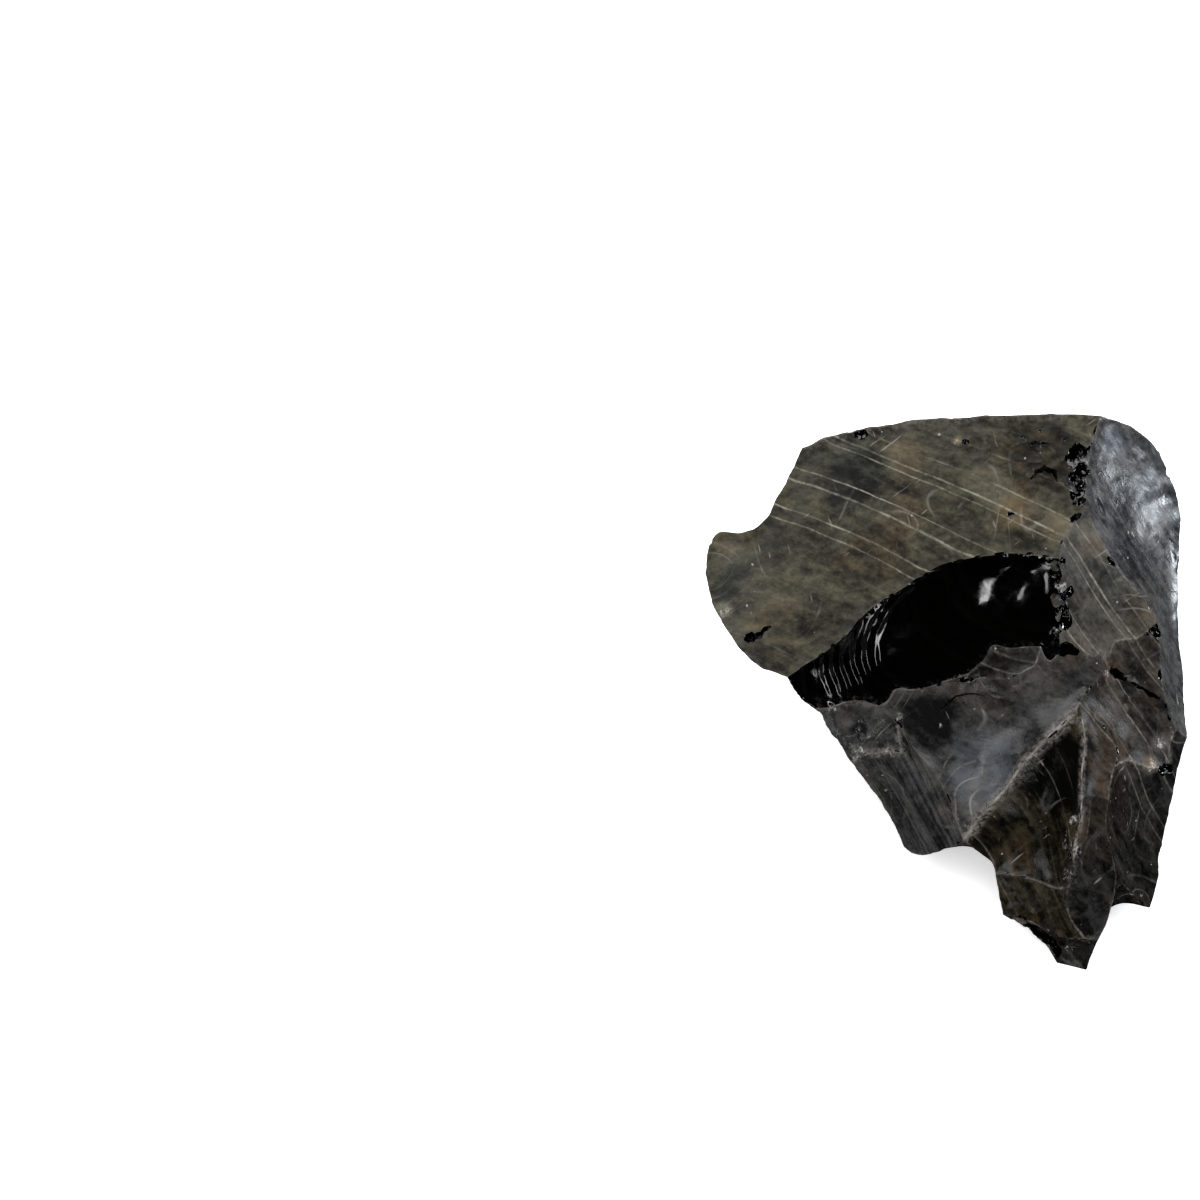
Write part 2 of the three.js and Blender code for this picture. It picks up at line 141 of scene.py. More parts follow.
# How far the scars of the sides and the back are dished, in millimetres
HOLLOWS = {
    "wing_underside": 1.2,
    "wing_back": 1.0,
    "left_back": 2.0,
    "crown_left": 1.8,
    "crown_back": 1.6,
    "back_flake": 1.2,
    "back_low": 2.4,
    "back_plain": 2.2,
    "back_corner": 1.4,
    "right_shoulder": 1.2,
    "right_wall": 1.6,
    "heel_wall": 0.6,
    "right_foot": 0.8,
    "right_back": 2.2,
    "upper_flank": 1.4,
    "front_flank": 0.8,
    "low_flank": 1.4,
}
HOLLOW_REACH = 10.0   # they are deepest this far from a ridge and beyond
BACK_WEAR = 1.0       # how far the ridges between them are worn back
BACK_WEAR_SIZE = 6.0  # how long the dips are that this wear leaves
BACK_WEAR_REACH = 4.0 # and how far from the ridge they reach
UNSEEN = (1.0, 6.0)   # the wear starts and is full at these distances from the front's ridges
THIN_SHARE = 0.25     # nothing is carved deeper than this share of the stone's thickness
SHALLOW = 0.25        # except where it is no deeper than this
THIN = 8.0            # where it is thinner than this, or this near the front, ridges have small chips only

# How uneven each finish is: broad swells and fine grain, in millimetres
RELIEF = {
    "olive": (0.30, 0.05),
    "slate": (0.25, 0.05),
    "ash": (0.15, 0.05),
    "smoke": (0.25, 0.05),
    "ribbed": (0.18, 0.06),
    "amber": (0.25, 0.08),
    "ink": (0.20, 0.05),
    "pitch": (0.20, 0.05),
    "jet": (0.20, 0.0),
    "fresh": (0.03, 0.0),
}
SWELL_SIZE = 9.0
GRAIN_SIZE = 1.6
RIDGE_FADE = 1.6      # swells and grain die out this close to a ridge
WAVE_FADE = 0.7       # and waves this close
RIDGE_WEAR = 0.20     # how far the ridges themselves wander
RIDGE_WEAR_SIZE = 2.4           # and how long their bends are
SOLE = 0.4            # the stone is flat below this height

SHARP_BEND = 22.0     # ridges follow the edges that bend by this many degrees or more
LEAST_COST = 0.03     # such an edge counts as this share of its length in a border between scars
STEEP = math.radians(45)          # inside a scar, an edge that bends more than this is shown sharp
STEPS = (0.0, 0.25, 0.5, 0.75)    # the places along each edge of a ridge that distances are taken from

# Ridges that are rubbed pale: the two scars they part, how strongly, and how wide (millimetres)
WORN = {
    ("belly", "inner_shin"): (1.5, 0.60),
    ("inner_shin", "shin"): (1.4, 0.36),
    ("shin", "calf"): (0.7, 0.30),
    ("shin", "elbow_face"): (0.4, 0.30),
    ("calf", "elbow_face"): (1.0, 0.35),
    ("plank", "shoulder_face"): (0.6, 0.35),
    ("banded_face", "shoulder_face"): (0.5, 0.50),
    ("plank", "banded_face"): (0.4, 0.60),
    ("plank", "elbow_face"): (0.5, 0.40),
    ("step_scar", "scoop"): (0.9, 0.45),
    ("step_scar", "ribbed_lobe"): (1.2, 0.40),
    ("belly", "step_scar"): (0.15, 0.60),
    ("belly", "ribbed_lobe"): (0.25, 0.80),
    ("belly", "scoop"): (0.5, 0.40),
    ("belly", "edge_flake"): (0.6, 0.30),
    ("edge_flake", "scoop"): (0.7, 0.35),
    ("inner_shin", "toe_cap"): (0.6, 0.50),
    ("toe_bands", "inner_shin"): (0.5, 0.40),
    ("toe_cap", "toe_bands"): (0.5, 0.35),
    ("toe_cap", "notch"): (0.5, 0.35),
    ("toe_cap", "toe_front"): (0.8, 0.40),
    ("banded_face", "crown_left"): (0.8, 0.45),
    ("banded_face", "crown_back"): (0.8, 0.45),
    ("shoulder_face", "crown_back"): (0.7, 0.40),
}
WORN_ELSEWHERE = (0.22, 0.30)

PIT_SIZE = 2.2        # how long the pits of rough places are
# Rough places in otherwise smooth scars: where, how far they reach and how deep they are pitted
PITTED = [
    ((0.690, 0.740, 0.930), 9.0, 0.50),
    ((0.600, 0.770, 0.915), 8.0, 0.30),
    ((0.730, 0.600, 0.850), 4.0, 0.35),
    ((0.985, 0.760, 0.770), 5.0, 0.40),
    ((0.860, 0.420, 0.535), 5.0, 0.50),
    ((0.930, 0.345, 0.385), 4.0, 0.40),
    ((0.744, 0.150, 0.315), 4.0, 0.40),
    ((0.690, 0.060, 0.080), 6.0, 0.50),
    ((0.300, 0.400, 0.330), 4.0, 0.30),
    ((0.480, 0.930, 0.600), 9.0, 0.40),
    ((0.200, 0.800, 0.300), 8.0, 0.40),
]

# Patches of the film that lies on the aged faces, and some painted highlights, painted sheen and
# painted shade (marked below): where, how far they reach (millimetres), how much lighter or darker
# they are, and how much browner or bluer
PATCHES = [
    # the banded face
    ((0.314, 0.774, 0.819), 6.5, -0.16, -0.5),
    ((0.298, 0.740, 0.794), 5.5, -0.14, -0.4),
    ((0.064, 0.700, 0.647), 5.0, 0.20, 0.5),
    ((0.071, 0.625, 0.604), 6.0, -0.15, -0.5),
    ((0.132, 0.571, 0.609), 8.0, 0.22, 0.4),
    # painted highlight at the wing's tip: the film made lighter there
    ((0.042, 0.578, 0.554), 2.2, 0.4, 0.0),
    ((0.340, 0.600, 0.720), 9.0, -0.05, 0.6),
    ((0.412, 0.789, 0.861), 4.5, 0.30, 0.5),
    ((0.526, 0.831, 0.917), 6.0, -0.05, -0.5),
    ((0.682, 0.740, 0.925), 7.5, -0.22, 0.9),
    ((0.620, 0.642, 0.851), 3.0, 0.15, 0.8),
    ((0.598, 0.670, 0.860), 8.0, 0.15, 0.0),
    ((0.716, 0.599, 0.854), 3.5, 0.45, 0.6),
    ((0.518, 0.801, 0.903), 1.3, 0.8, 1.2),
    # the shoulder and the plank
    # painted highlight: the shoulder's bright core, lighter and bluer, over the window lamp's own
    # reflection
    ((0.939, 0.720, 0.764), 7.0, 0.30, -0.6),
    # painted highlight: a lighter streak along the shoulder's upper edge
    ((0.837, 0.773, 0.932), 3.2, 0.30, -0.3),
    ((0.985, 0.760, 0.760), 3.5, -0.60, 0.0),
    ((0.985, 0.680, 0.670), 4.0, -0.60, 0.0),
    ((0.882, 0.604, 0.724), 6.0, -0.25, 0.1),
    ((0.870, 0.700, 0.830), 5.0, -0.15, -0.4),
    ((0.779, 0.591, 0.827), 4.0, 0.35, 0.5),
    ((0.748, 0.503, 0.722), 3.0, -0.15, 0.0),
    # the belly, the step and the lobe
    # painted sheen: the belly lighter and bluer at its lower middle
    ((0.573, 0.286, 0.346), 8.0, 0.45, -0.9),
    # painted shade: these two darken the belly's upper left
    ((0.440, 0.380, 0.400), 6.0, -0.45, -0.2),
    ((0.485, 0.404, 0.399), 4.0, -0.40, -0.3),
    ((0.535, 0.435, 0.467), 4.0, -0.10, 1.8),
    ((0.605, 0.425, 0.480), 4.5, -0.15, 1.2),
    ((0.440, 0.335, 0.330), 2.8, 0.30, 0.4),
    ((0.463, 0.300, 0.299), 3.0, 0.35, 0.5),
    ((0.495, 0.250, 0.235), 2.8, 0.30, 0.5),
    ((0.290, 0.417, 0.375), 2.5, 0.15, 0.5),
    ((0.322, 0.401, 0.320), 2.5, -0.35, -0.6),
    # the leg and the toe
    ((0.780, 0.290, 0.460), 9.0, 0.12, 0.4),
    ((0.780, 0.150, 0.330), 6.0, 0.16, 0.6),
    ((0.870, 0.220, 0.270), 8.0, 0.12, 0.2),
    ((0.710, 0.266, 0.407), 8.0, -0.45, 0.9),
    ((0.645, 0.174, 0.216), 5.0, 0.10, 0.4),
    # painted glint: a small lighter, bluer spot on the elbow's ledge
    ((0.934, 0.345, 0.379), 2.4, 0.5, -1.0),
    ((0.914, 0.303, 0.360), 2.2, 0.7, 1.4),
    ((0.826, 0.422, 0.564), 2.4, 0.15, 1.6),
    ((0.905, 0.405, 0.485), 2.6, 0.10, 1.5),
    ((0.751, 0.433, 0.610), 3.0, 0.00, 1.4),
]

# Spots whitened by crushing, and a few painted glints and highlights marked below: where, how far
# they reach (millimetres), and how strongly
FROST_AND_GLINTS = [
    ((0.718, 0.515, 0.755), 1.4, 0.75),
    ((0.706, 0.460, 0.665), 1.3, 0.75),
    ((0.735, 0.480, 0.715), 0.8, 0.68),
    ((0.775, 0.715, 0.945), 0.9, 0.52),
    ((0.800, 0.760, 0.955), 1.6, 0.42),
    ((0.383, 0.361, 0.307), 1.0, 0.52),
    ((0.325, 0.378, 0.284), 1.2, 0.60),
    ((0.778, 0.680, 0.920), 0.9, 0.52),
    # a crushed spot at the wing's tip, made pale partly as a painted highlight
    ((0.042, 0.578, 0.554), 1.6, 0.60),
    ((0.518, 0.801, 0.903), 1.2, 0.62),
    ((0.592, 0.690, 0.862), 2.0, 0.22),
    ((0.487, 0.389, 0.382), 0.5, 0.75),
    ((0.402, 0.402, 0.393), 1.2, 0.52),
    ((0.262, 0.419, 0.392), 1.4, 0.52),
    ((0.320, 0.372, 0.276), 2.4, 0.38),
    ((0.747, 0.184, 0.345), 1.6, 0.52),
    ((0.744, 0.131, 0.301), 2.2, 0.52),
    ((0.734, 0.100, 0.245), 1.8, 0.45),
    # the painted glint on the elbow's ledge, whitened further
    ((0.934, 0.345, 0.379), 2.0, 0.52),
    ((0.920, 0.305, 0.355), 1.8, 0.52),
    ((0.818, 0.413, 0.567), 0.9, 0.75),
    # painted highlight: a pale crescent along the toe's lower edge
    ((0.745, 0.030, 0.050), 1.5, 0.45),
    ((0.925, 0.480, 0.590), 1.0, 0.38),
]

# ---- The CAD solid as arrays ----

def solid_arrays(node):
    """The node's points in millimetres and its triangles, with shared points merged."""
    solid = bmesh.new()
    solid.from_mesh(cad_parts[node].data)
    bmesh.ops.remove_doubles(solid, verts=solid.verts, dist=0.001 * MM)
    bmesh.ops.triangulate(solid, faces=solid.faces)
    points = np.array([v.co for v in solid.verts]) / MM
    triangles = np.array([[v.index for v in f.verts] for f in solid.faces])
    solid.free()
    return points, triangles


def unique_edges(triangles):
    """The edges as pairs of points, and for each triangle the numbers of its three edges."""
    sides = np.sort(triangles[:, [0, 1, 1, 2, 2, 0]].reshape(-1, 2), axis=1)
    edges, numbers = np.unique(sides, axis=0, return_inverse=True)
    return edges, numbers.reshape(-1, 3)


def edge_faces(numbers, count):
    """The two triangles at each edge of a closed mesh."""
    order = np.argsort(numbers.ravel(), kind="stable")
    return (order // 3).reshape(count, 2)


def beyond(face, pair):
    """The other triangle of the two at an edge."""
    return pair[0] if pair[1] == face else pair[1]


def crossed_sides(points, triangles):
    """For each triangle a vector along its normal, twice as long as its area."""
    a, b, c = (points[triangles[:, k]] for k in range(3))
    return np.cross(b - a, c - a)


def point_normals(points, triangles):
    weighted = crossed_sides(points, triangles)
    normals = np.zeros_like(points)
    for k in range(3):
        np.add.at(normals, triangles[:, k], weighted)
    return normals / np.linalg.norm(normals, axis=1, keepdims=True)


def bends(points, triangles, pairs):
    """By how many degrees the surface bends between the two triangles of each pair."""
    crossed = crossed_sides(points, triangles)
    normals = crossed / np.linalg.norm(crossed, axis=1, keepdims=True)
    return np.degrees(np.arccos(np.clip((normals[pairs[:, 0]] * normals[pairs[:, 1]]).sum(1), -1, 1)))


def gap(points, place):
    """How far each point is from a place in the box, in millimetres."""
    return np.linalg.norm(points - at(*place), axis=1)


def surface_tree(points, triangles):
    return BVHTree.FromPolygons([Vector(p) for p in points], triangles.tolist())


def finder(places):
    """A tree that finds the nearest of these places."""
    tree = kdtree.KDTree(len(places))
    for number, place in enumerate(places):
        tree.insert(place, number)
    tree.balance()
    return tree


def find_scars(points, triangles):
    """Which scar each triangle belongs to: each spreads from its seed over the flattest edges first."""
    edges, numbers = unique_edges(triangles)
    pairs = edge_faces(numbers, len(edges))
    bend = bends(points, triangles, pairs)
    middles = points[triangles].mean(1)
    label = np.full(len(triangles), -1)
    queue = []
    for number, (seeds, _) in enumerate(SCARS.values()):
        for seed in seeds:
            nearest = int(np.argmin(((middles - at(*seed)) ** 2).sum(1)))
            heapq.heappush(queue, (-1.0, number, nearest))
    while queue:
        _, number, face = heapq.heappop(queue)
        if label[face] >= 0:
            continue
        label[face] = number
        for edge in numbers[face]:
            other = beyond(face, pairs[edge])
            if label[other] < 0:
                heapq.heappush(queue, (float(bend[edge]), number, int(other)))
    return tidy_borders(points, label, edges, numbers, pairs, bend)


def tidy_borders(points, label, edges, numbers, pairs, bend):
    """Moves the borders between scars onto the nearest sharp edges."""
    length = np.linalg.norm(points[edges[:, 0]] - points[edges[:, 1]], axis=1)
    cost = length * np.clip(1 - bend / SHARP_BEND, LEAST_COST, 1)
    moved = True
    while moved:
        moved = False
        for face, sides in enumerate(numbers):
            others = [beyond(face, pairs[e]) for e in sides]
            choices = {int(label[o]) for o in others} | {int(label[face])}
            if len(choices) == 1:
                continue
            total = {c: sum(cost[e] for e, o in zip(sides, others) if label[o] != c) for c in choices}
            best = min(sorted(choices), key=total.get)
            if total[best] < total[int(label[face])] - 1e-6:
                label[face] = best
                moved = True
    return label



# ---- Finer mesh: each scar smooth, each ridge sharp ----

def refine(points, triangles, label):
    """One round of Loop subdivision that keeps the ridges between scars sharp."""
    edges, numbers = unique_edges(triangles)
    pairs = edge_faces(numbers, len(edges))
    ridge = label[pairs[:, 0]] != label[pairs[:, 1]]
    opposite = np.zeros((len(edges), 3))
    for side in range(3):
        np.add.at(opposite, numbers[:, side], points[triangles[:, (side + 2) % 3]])
    ends = points[edges[:, 0]] + points[edges[:, 1]]
    middles = np.where(ridge[:, None], ends / 2, ends * 3 / 8 + opposite / 8)

    valence = np.bincount(edges.ravel(), minlength=len(points))
    around = np.zeros_like(points)
    np.add.at(around, edges[:, 0], points[edges[:, 1]])
    np.add.at(around, edges[:, 1], points[edges[:, 0]])
    pull = np.where(valence == 3, 3 / 16, 3 / (8 * valence))[:, None]
    smooth = (1 - valence[:, None] * pull) * points + pull * around

    on_ridge = edges[ridge]
    ridges_here = np.bincount(on_ridge.ravel(), minlength=len(points))
    along = np.zeros_like(points)
    np.add.at(along, on_ridge[:, 0], points[on_ridge[:, 1]])
    np.add.at(along, on_ridge[:, 1], points[on_ridge[:, 0]])
    creased = points * 3 / 4 + along / 8
    moved = np.where((ridges_here == 2)[:, None], creased, smooth)
    moved = np.where((ridges_here > 2)[:, None], points, moved)

    ab, bc, ca = (numbers[:, side] + len(points) for side in range(3))
    a, b, c = triangles.T
    parts = [np.stack(part, 1) for part in ((a, ab, ca), (b, bc, ab), (c, ca, bc), (ab, bc, ca))]
    return np.concatenate([moved, middles]), np.concatenate(parts), np.tile(label, 4)


def split_scars(points, triangles, label, names):
    """Cuts the triangles of some scars in four, and their neighbours to match."""
    edges, numbers = unique_edges(triangles)
    wanted = np.isin(label, [SCAR_NAMES.index(name) for name in names])
    cut = np.zeros(len(edges), bool)
    cut[numbers[wanted].ravel()] = True
    place = np.full(len(edges), -1)
    place[cut] = len(points) + np.arange(cut.sum())
    middles = points[edges[cut]].mean(1)
    out, owners = [], []
    for face, (corner, side) in enumerate(zip(triangles.tolist(), numbers.tolist())):
        mids = [int(place[s]) for s in side]
        count = sum(m >= 0 for m in mids)
        a, b, c = corner
        if count == 0:
            made = [corner]
        elif count == 3:
            ab, bc, ca = mids
            made = [[a, ab, ca], [b, bc, ab], [c, ca, bc], [ab, bc, ca]]
        else:
            turn = next(k for k in range(3) if mids[k] >= 0 and (count == 1 or mids[(k + 2) % 3] < 0))
            a, b, c = (corner[(turn + k) % 3] for k in range(3))
            ab, bc = mids[turn], mids[(turn + 1) % 3]
            made = [[a, ab, c], [ab, b, c]] if count == 1 else [[a, ab, c], [ab, b, bc], [ab, bc, c]]
        out += made
        owners += [face] * len(made)
    return np.concatenate([points, middles]), np.array(out), label[owners]


class Ridges:
    """The points on the ridges between scars, and how far any place is from them."""

    def __init__(self, points, triangles, label):
        edges, numbers = unique_edges(triangles)
        pairs = edge_faces(numbers, len(edges))
        owners = label[pairs]
        on = owners[:, 0] != owners[:, 1]
        self.edges = edges[on]
        self.owners = np.sort(owners[on], axis=1)
        self.bend = bends(points, triangles, pairs[on])
        self.middles = points[self.edges].mean(1)
        starts, ends = (points[self.edges[:, k]] for k in range(2))
        self.along = ends - starts
        each = zip(starts, self.along)
        self.tree = finder([start + along * step for start, along in each for step in STEPS])

    def distances(self, places):
        """How far each place is from the nearest ridge, and which of the ridges' edges that is."""
        found = [self.tree.find(place)[1:] for place in places]
        return np.array([f[1] for f in found]), np.array([f[0] // len(STEPS) for f in found])

    def front_distances(self, places):
        """How far each place is from the nearest ridge that bounds a scar of the front."""
        tree = finder(self.middles[(self.owners < FIRST_UNSEEN).any(axis=1)])
        return np.array([tree.find(place)[2] for place in places])


def unit(vector):
    return vector / np.linalg.norm(vector)


def smoothstep(low, high, value):
    t = np.clip((value - low) / (high - low), 0, 1)
    return t * t * (3 - 2 * t)


def fractal(points, size, octaves, offset=0.0):
    """Fractal noise about 0 at each point, mostly within -1 and 1, with features of the given size."""
    shift = Vector((offset, 2 * offset, 3 * offset))
    return np.array([noise.fractal(Vector(p / size) + shift, 1.0, 2.1, octaves) for p in points])


def wave_depth(points, wave):
    """How deep a scar's waves press in at each point."""
    strike, start, stop, first, last, depth, *part = wave
    reach = gap(points, strike)
    run = np.clip(reach - start, 0, stop - start)
    change = (last - first) / (stop - start)
    phase = run / first if abs(change) < 1e-6 else np.log1p(change * run / first) / change
    window = smoothstep(start, start + first, reach) * (1 - smoothstep(stop - last, stop, reach))
    if part:
        window *= 1 - smoothstep(0.75, 1.0, gap(points, part[0]) / part[1])
    wobble = 0.20 * fractal(points, 7.0, 2, offset=7.0)
    window *= np.clip(0.75 + 0.7 * fractal(points, 4.0, 2, offset=13.0), 0.2, 1.3)
    return depth * window * (0.5 - 0.5 * np.cos(2 * math.pi * (phase + wobble)))


def thickness(tree, place, normal):
    """How thick the stone is behind a place on its surface."""
    inward = Vector(-normal)
    through = tree.ray_cast(Vector(place) + inward * 0.05, inward)[3]
    return 0.0 if through is None else through


def carve(points, triangles, label):
    """Presses the waves, hollows, swells, pits and grain into the scars and wears the ridges."""
    normals = point_normals(points, triangles)
    ridges = Ridges(points, triangles, label)
    clear, _ = ridges.distances(points)
    fade = smoothstep(0.0, RIDGE_FADE, clear)
    owner = np.full(len(points), -1)
    for side in range(3):
        owner[triangles[:, side]] = label
    depth = np.zeros(len(points))
    swell = fractal(points, SWELL_SIZE, 3)
    grain = fractal(points, GRAIN_SIZE, 2, offset=3.0)
    for number, (name, (_, finish)) in enumerate(SCARS.items()):
        here = owner == number
        if not here.any() or name == "base":
            continue
        broad, fine = RELIEF[finish]
        depth[here] += broad * (0.5 + 0.5 * swell[here]) * fade[here]
        depth[here] += fine * (0.5 + 0.5 * grain[here]) * fade[here]
        for wave in WAVES.get(name, []):
            depth[here] += wave_depth(points[here], wave) * smoothstep(0.0, WAVE_FADE, clear[here])
    for name, hollow in HOLLOWS.items():
        here = owner == SCAR_NAMES.index(name)
        depth[here] += hollow * smoothstep(0.0, HOLLOW_REACH, clear[here])
    dips = np.clip(0.5 + 0.8 * fractal(points, BACK_WEAR_SIZE, 2, offset=23.0), 0, 1)
    unseen = smoothstep(*UNSEEN, ridges.front_distances(points))
    depth += BACK_WEAR * dips * (1 - smoothstep(0.0, BACK_WEAR_REACH, clear)) * unseen
    pits = fractal(points, PIT_SIZE, 4, offset=17.0)
    for place, reach, deep in PITTED:
        far = gap(points, place) / reach
        depth += deep * (1 - smoothstep(0.4, 1.0, far)) * np.maximum(pits, -0.2) * (0.35 + 0.65 * fade)
    depth += RIDGE_WEAR * (1 - fade) * fractal(points, RIDGE_WEAR_SIZE, 3, offset=11.0)
    depth *= points[:, 2] > SOLE
    tree = surface_tree(points, triangles)
    for number in np.flatnonzero(depth > SHALLOW):
        depth[number] = min(depth[number], THIN_SHARE * thickness(tree, points[number], normals[number]))
    carved = points - normals * depth[:, None]
    return np.clip(carved, LOW, HIGH)


# ---- Chips: small bites out of ridges and faces that show fresh glass ----

# Place in the box, width across, length for its width, depth (millimetres), the finish inside, and
# how ragged it is
CHIPS = [
    # the broken front of the peak's ridge
    ((0.756, 0.738, 0.955), 3.4, 1.6, 0.80, "fresh", 1.2),
    ((0.764, 0.705, 0.936), 3.0, 1.5, 0.70, "fresh", 1.2),
    ((0.758, 0.668, 0.910), 2.6, 1.5, 0.60, "fresh", 1.2),
    ((0.747, 0.619, 0.876), 1.6, 1.6, 0.40, "fresh", 1.0),
    # small pits in the rough part of the banded face
    ((0.655, 0.755, 0.932), 3.6, 1.7, 0.40, "olive", 0.8),
    ((0.715, 0.750, 0.945), 3.0, 1.4, 0.35, "olive", 0.8),
    ((0.620, 0.642, 0.851), 1.0, 1.2, 0.25, "fresh", 1.0),
    ((0.535, 0.795, 0.905), 1.2, 1.3, 0.40, "fresh", 1.0),
    # crushed glass beside the scoop
    ((0.722, 0.500, 0.745), 2.4, 1.5, 0.60, "fresh", 1.2),
    ((0.728, 0.468, 0.695), 2.8, 1.3, 0.70, "fresh", 1.2),
    # the right end of the plank
    ((0.925, 0.498, 0.601), 2.4, 1.3, 0.60, "fresh", 1.0),
    ((0.905, 0.490, 0.600), 0.9, 1.2, 0.25, "fresh", 1.0),
    # under the ledge of the elbow
    ((0.952, 0.314, 0.322), 2.6, 1.5, 0.60, "fresh", 1.0),
    # old scars with the film back over them
    ((0.810, 0.655, 0.856), 1.5, 2.6, 0.40, "smoke", 0.3),
    ((0.560, 0.770, 0.903), 2.4, 2.0, 0.25, "olive", 0.8),
    ((0.870, 0.375, 0.480), 3.0, 1.6, 0.35, "ink", 1.0),
    # the toe
    ((0.690, 0.055, 0.060), 3.4, 1.6, 0.70, "fresh", 1.0),
    ((0.712, 0.040, 0.042), 3.0, 1.5, 0.60, "fresh", 1.0),
    # crown and right shoulder
    ((0.326, 0.845, 0.858), 1.9, 1.6, 0.50, "fresh", 1.0),
    ((0.962, 0.780, 0.806), 1.4, 1.4, 0.40, "fresh", 1.0),
]
# Edges broken into many small scars: a path in the box, how far from it they lie, how many there
# are, and the smallest and largest width (millimetres)
BROKEN_EDGES = [
    ([(0.772, 0.745, 0.962), (0.766, 0.700, 0.930), (0.750, 0.650, 0.898)], 1.5, 30, 0.7, 2.4),
    ([(0.700, 0.552, 0.815), (0.722, 0.522, 0.780), (0.722, 0.485, 0.722), (0.722, 0.445, 0.650)],
     1.2, 44, 0.6, 2.0),
    ([(0.660, 0.780, 0.945), (0.720, 0.745, 0.940)], 3.0, 10, 0.4, 1.0),
    ([(0.745, 0.190, 0.350), (0.736, 0.110, 0.250)], 1.0, 8, 0.4, 1.0),
    ([(0.640, 0.080, 0.080), (0.730, 0.030, 0.030)], 2.2, 26, 0.6, 2.2),
]
CRUSH = 0.22          # how ragged a chip of raggedness 1 is, for its width
RAGGED = ((0.9, 1.0), (0.35, 0.40), (0.15, 0.22))   # how long its dents are for its width, and how deep

RIDGE_CHIPS = 260     # small chips scattered along the ridges
CHIPPED_BEND = 25     # they bite ridges that bend by more than this many degrees
NARROWEST = 0.4       # the width of the smallest
FRONT_RANGE = 0.6     # the widest are wider than the smallest by this
BACK_RANGE = 3.2      # and by this on the thick stone of the back
LARGE = 1.0           # the ones wider than this are as ragged as CRUSH says
NIBBLE = 0.10         # and the others as this says
OLD_SHARE = 0.75      # this share of the large ones is old: they have the finish of a scar beside them
ALL_OLD = 1.6         # and so have all that are wider than this

# Open cracks: the places they run through, how wide they gape at each, how deep they are for
# their width, and the finish inside
CRACKS = [
    # the hook on the wing
    ([(0.133, 0.523, 0.580), (0.119, 0.518, 0.570), (0.104, 0.513, 0.557), (0.088, 0.512, 0.551),
      (0.078, 0.517, 0.549)], [0.3, 1.3, 1.6, 2.7, 1.6], 0.30, "fresh"),
    # the gap under the plank
    ([(0.690, 0.440, 0.608), (0.710, 0.441, 0.622), (0.735, 0.440, 0.626), (0.760, 0.436, 0.616)],
     [0.8, 3.0, 3.3, 0.8], 0.25, "fresh"),
    # the hole and the ledge over the elbow
    ([(0.826, 0.422, 0.564), (0.840, 0.420, 0.552), (0.863, 0.417, 0.530)], [0.9, 2.0, 0.8], 0.6, "fresh"),
    ([(0.872, 0.416, 0.524), (0.885, 0.413, 0.512), (0.900, 0.411, 0.500), (0.916, 0.405, 0.489),
      (0.934, 0.402, 0.474)], [0.3, 0.8, 0.5, 1.1, 0.4], 0.8, "fresh"),
    # under the brim of the belly
    ([(0.485, 0.410, 0.410), (0.517, 0.425, 0.441), (0.545, 0.426, 0.454), (0.575, 0.419, 0.458)],
     [0.15, 0.5, 0.4, 0.1], 0.6, "amber"),
    # curved pits in the banded face
    ([(0.661, 0.700, 0.901), (0.673, 0.713, 0.913), (0.693, 0.716, 0.921), (0.711, 0.706, 0.920),
      (0.714, 0.689, 0.910)], [0.4, 1.1, 1.3, 1.1, 0.3], 0.5, "amber"),
    ([(0.660, 0.764, 0.936), (0.676, 0.771, 0.945), (0.700, 0.763, 0.949)], [0.3, 1.0, 0.3], 0.5, "amber"),
    # the toe
    ([(0.655, 0.080, 0.070), (0.688, 0.055, 0.058), (0.715, 0.035, 0.040)], [0.3, 1.2, 0.4], 0.7, "fresh"),
]


def chip_ball(middle, normal, width, depth):
    """The centre and radius of a ball that bites a bowl of that width and depth at a place."""
    radius = (width * width / 4 + depth * depth) / (2 * depth)
    return middle + normal * (radius - depth), radius


def chip_shape(middle, normal, along, width, stretch, depth, rough, finish):
    """The ball that bites a chip: drawn out along the ridge, and ragged."""
    centre, radius = chip_ball(middle, normal, width, depth)
    ball = bmesh.new()
    bmesh.ops.create_icosphere(ball, subdivisions=4 if width > 1.2 else 3, radius=radius)
    side = unit(np.cross(normal, along))
    along = np.cross(side, normal)
    for vert in ball.verts:
        x, y, z = vert.co
        place = centre + along * x * stretch + side * y + normal * z
        for size, share in RAGGED:
            dent = np.array(noise.noise_vector(Vector(place / (size * width))))
            place = place + rough * width * share * dent
        vert.co = Vector(place * MM)
    for face in ball.faces:
        face.material_index = FINISHES.index(finish)
    return ball


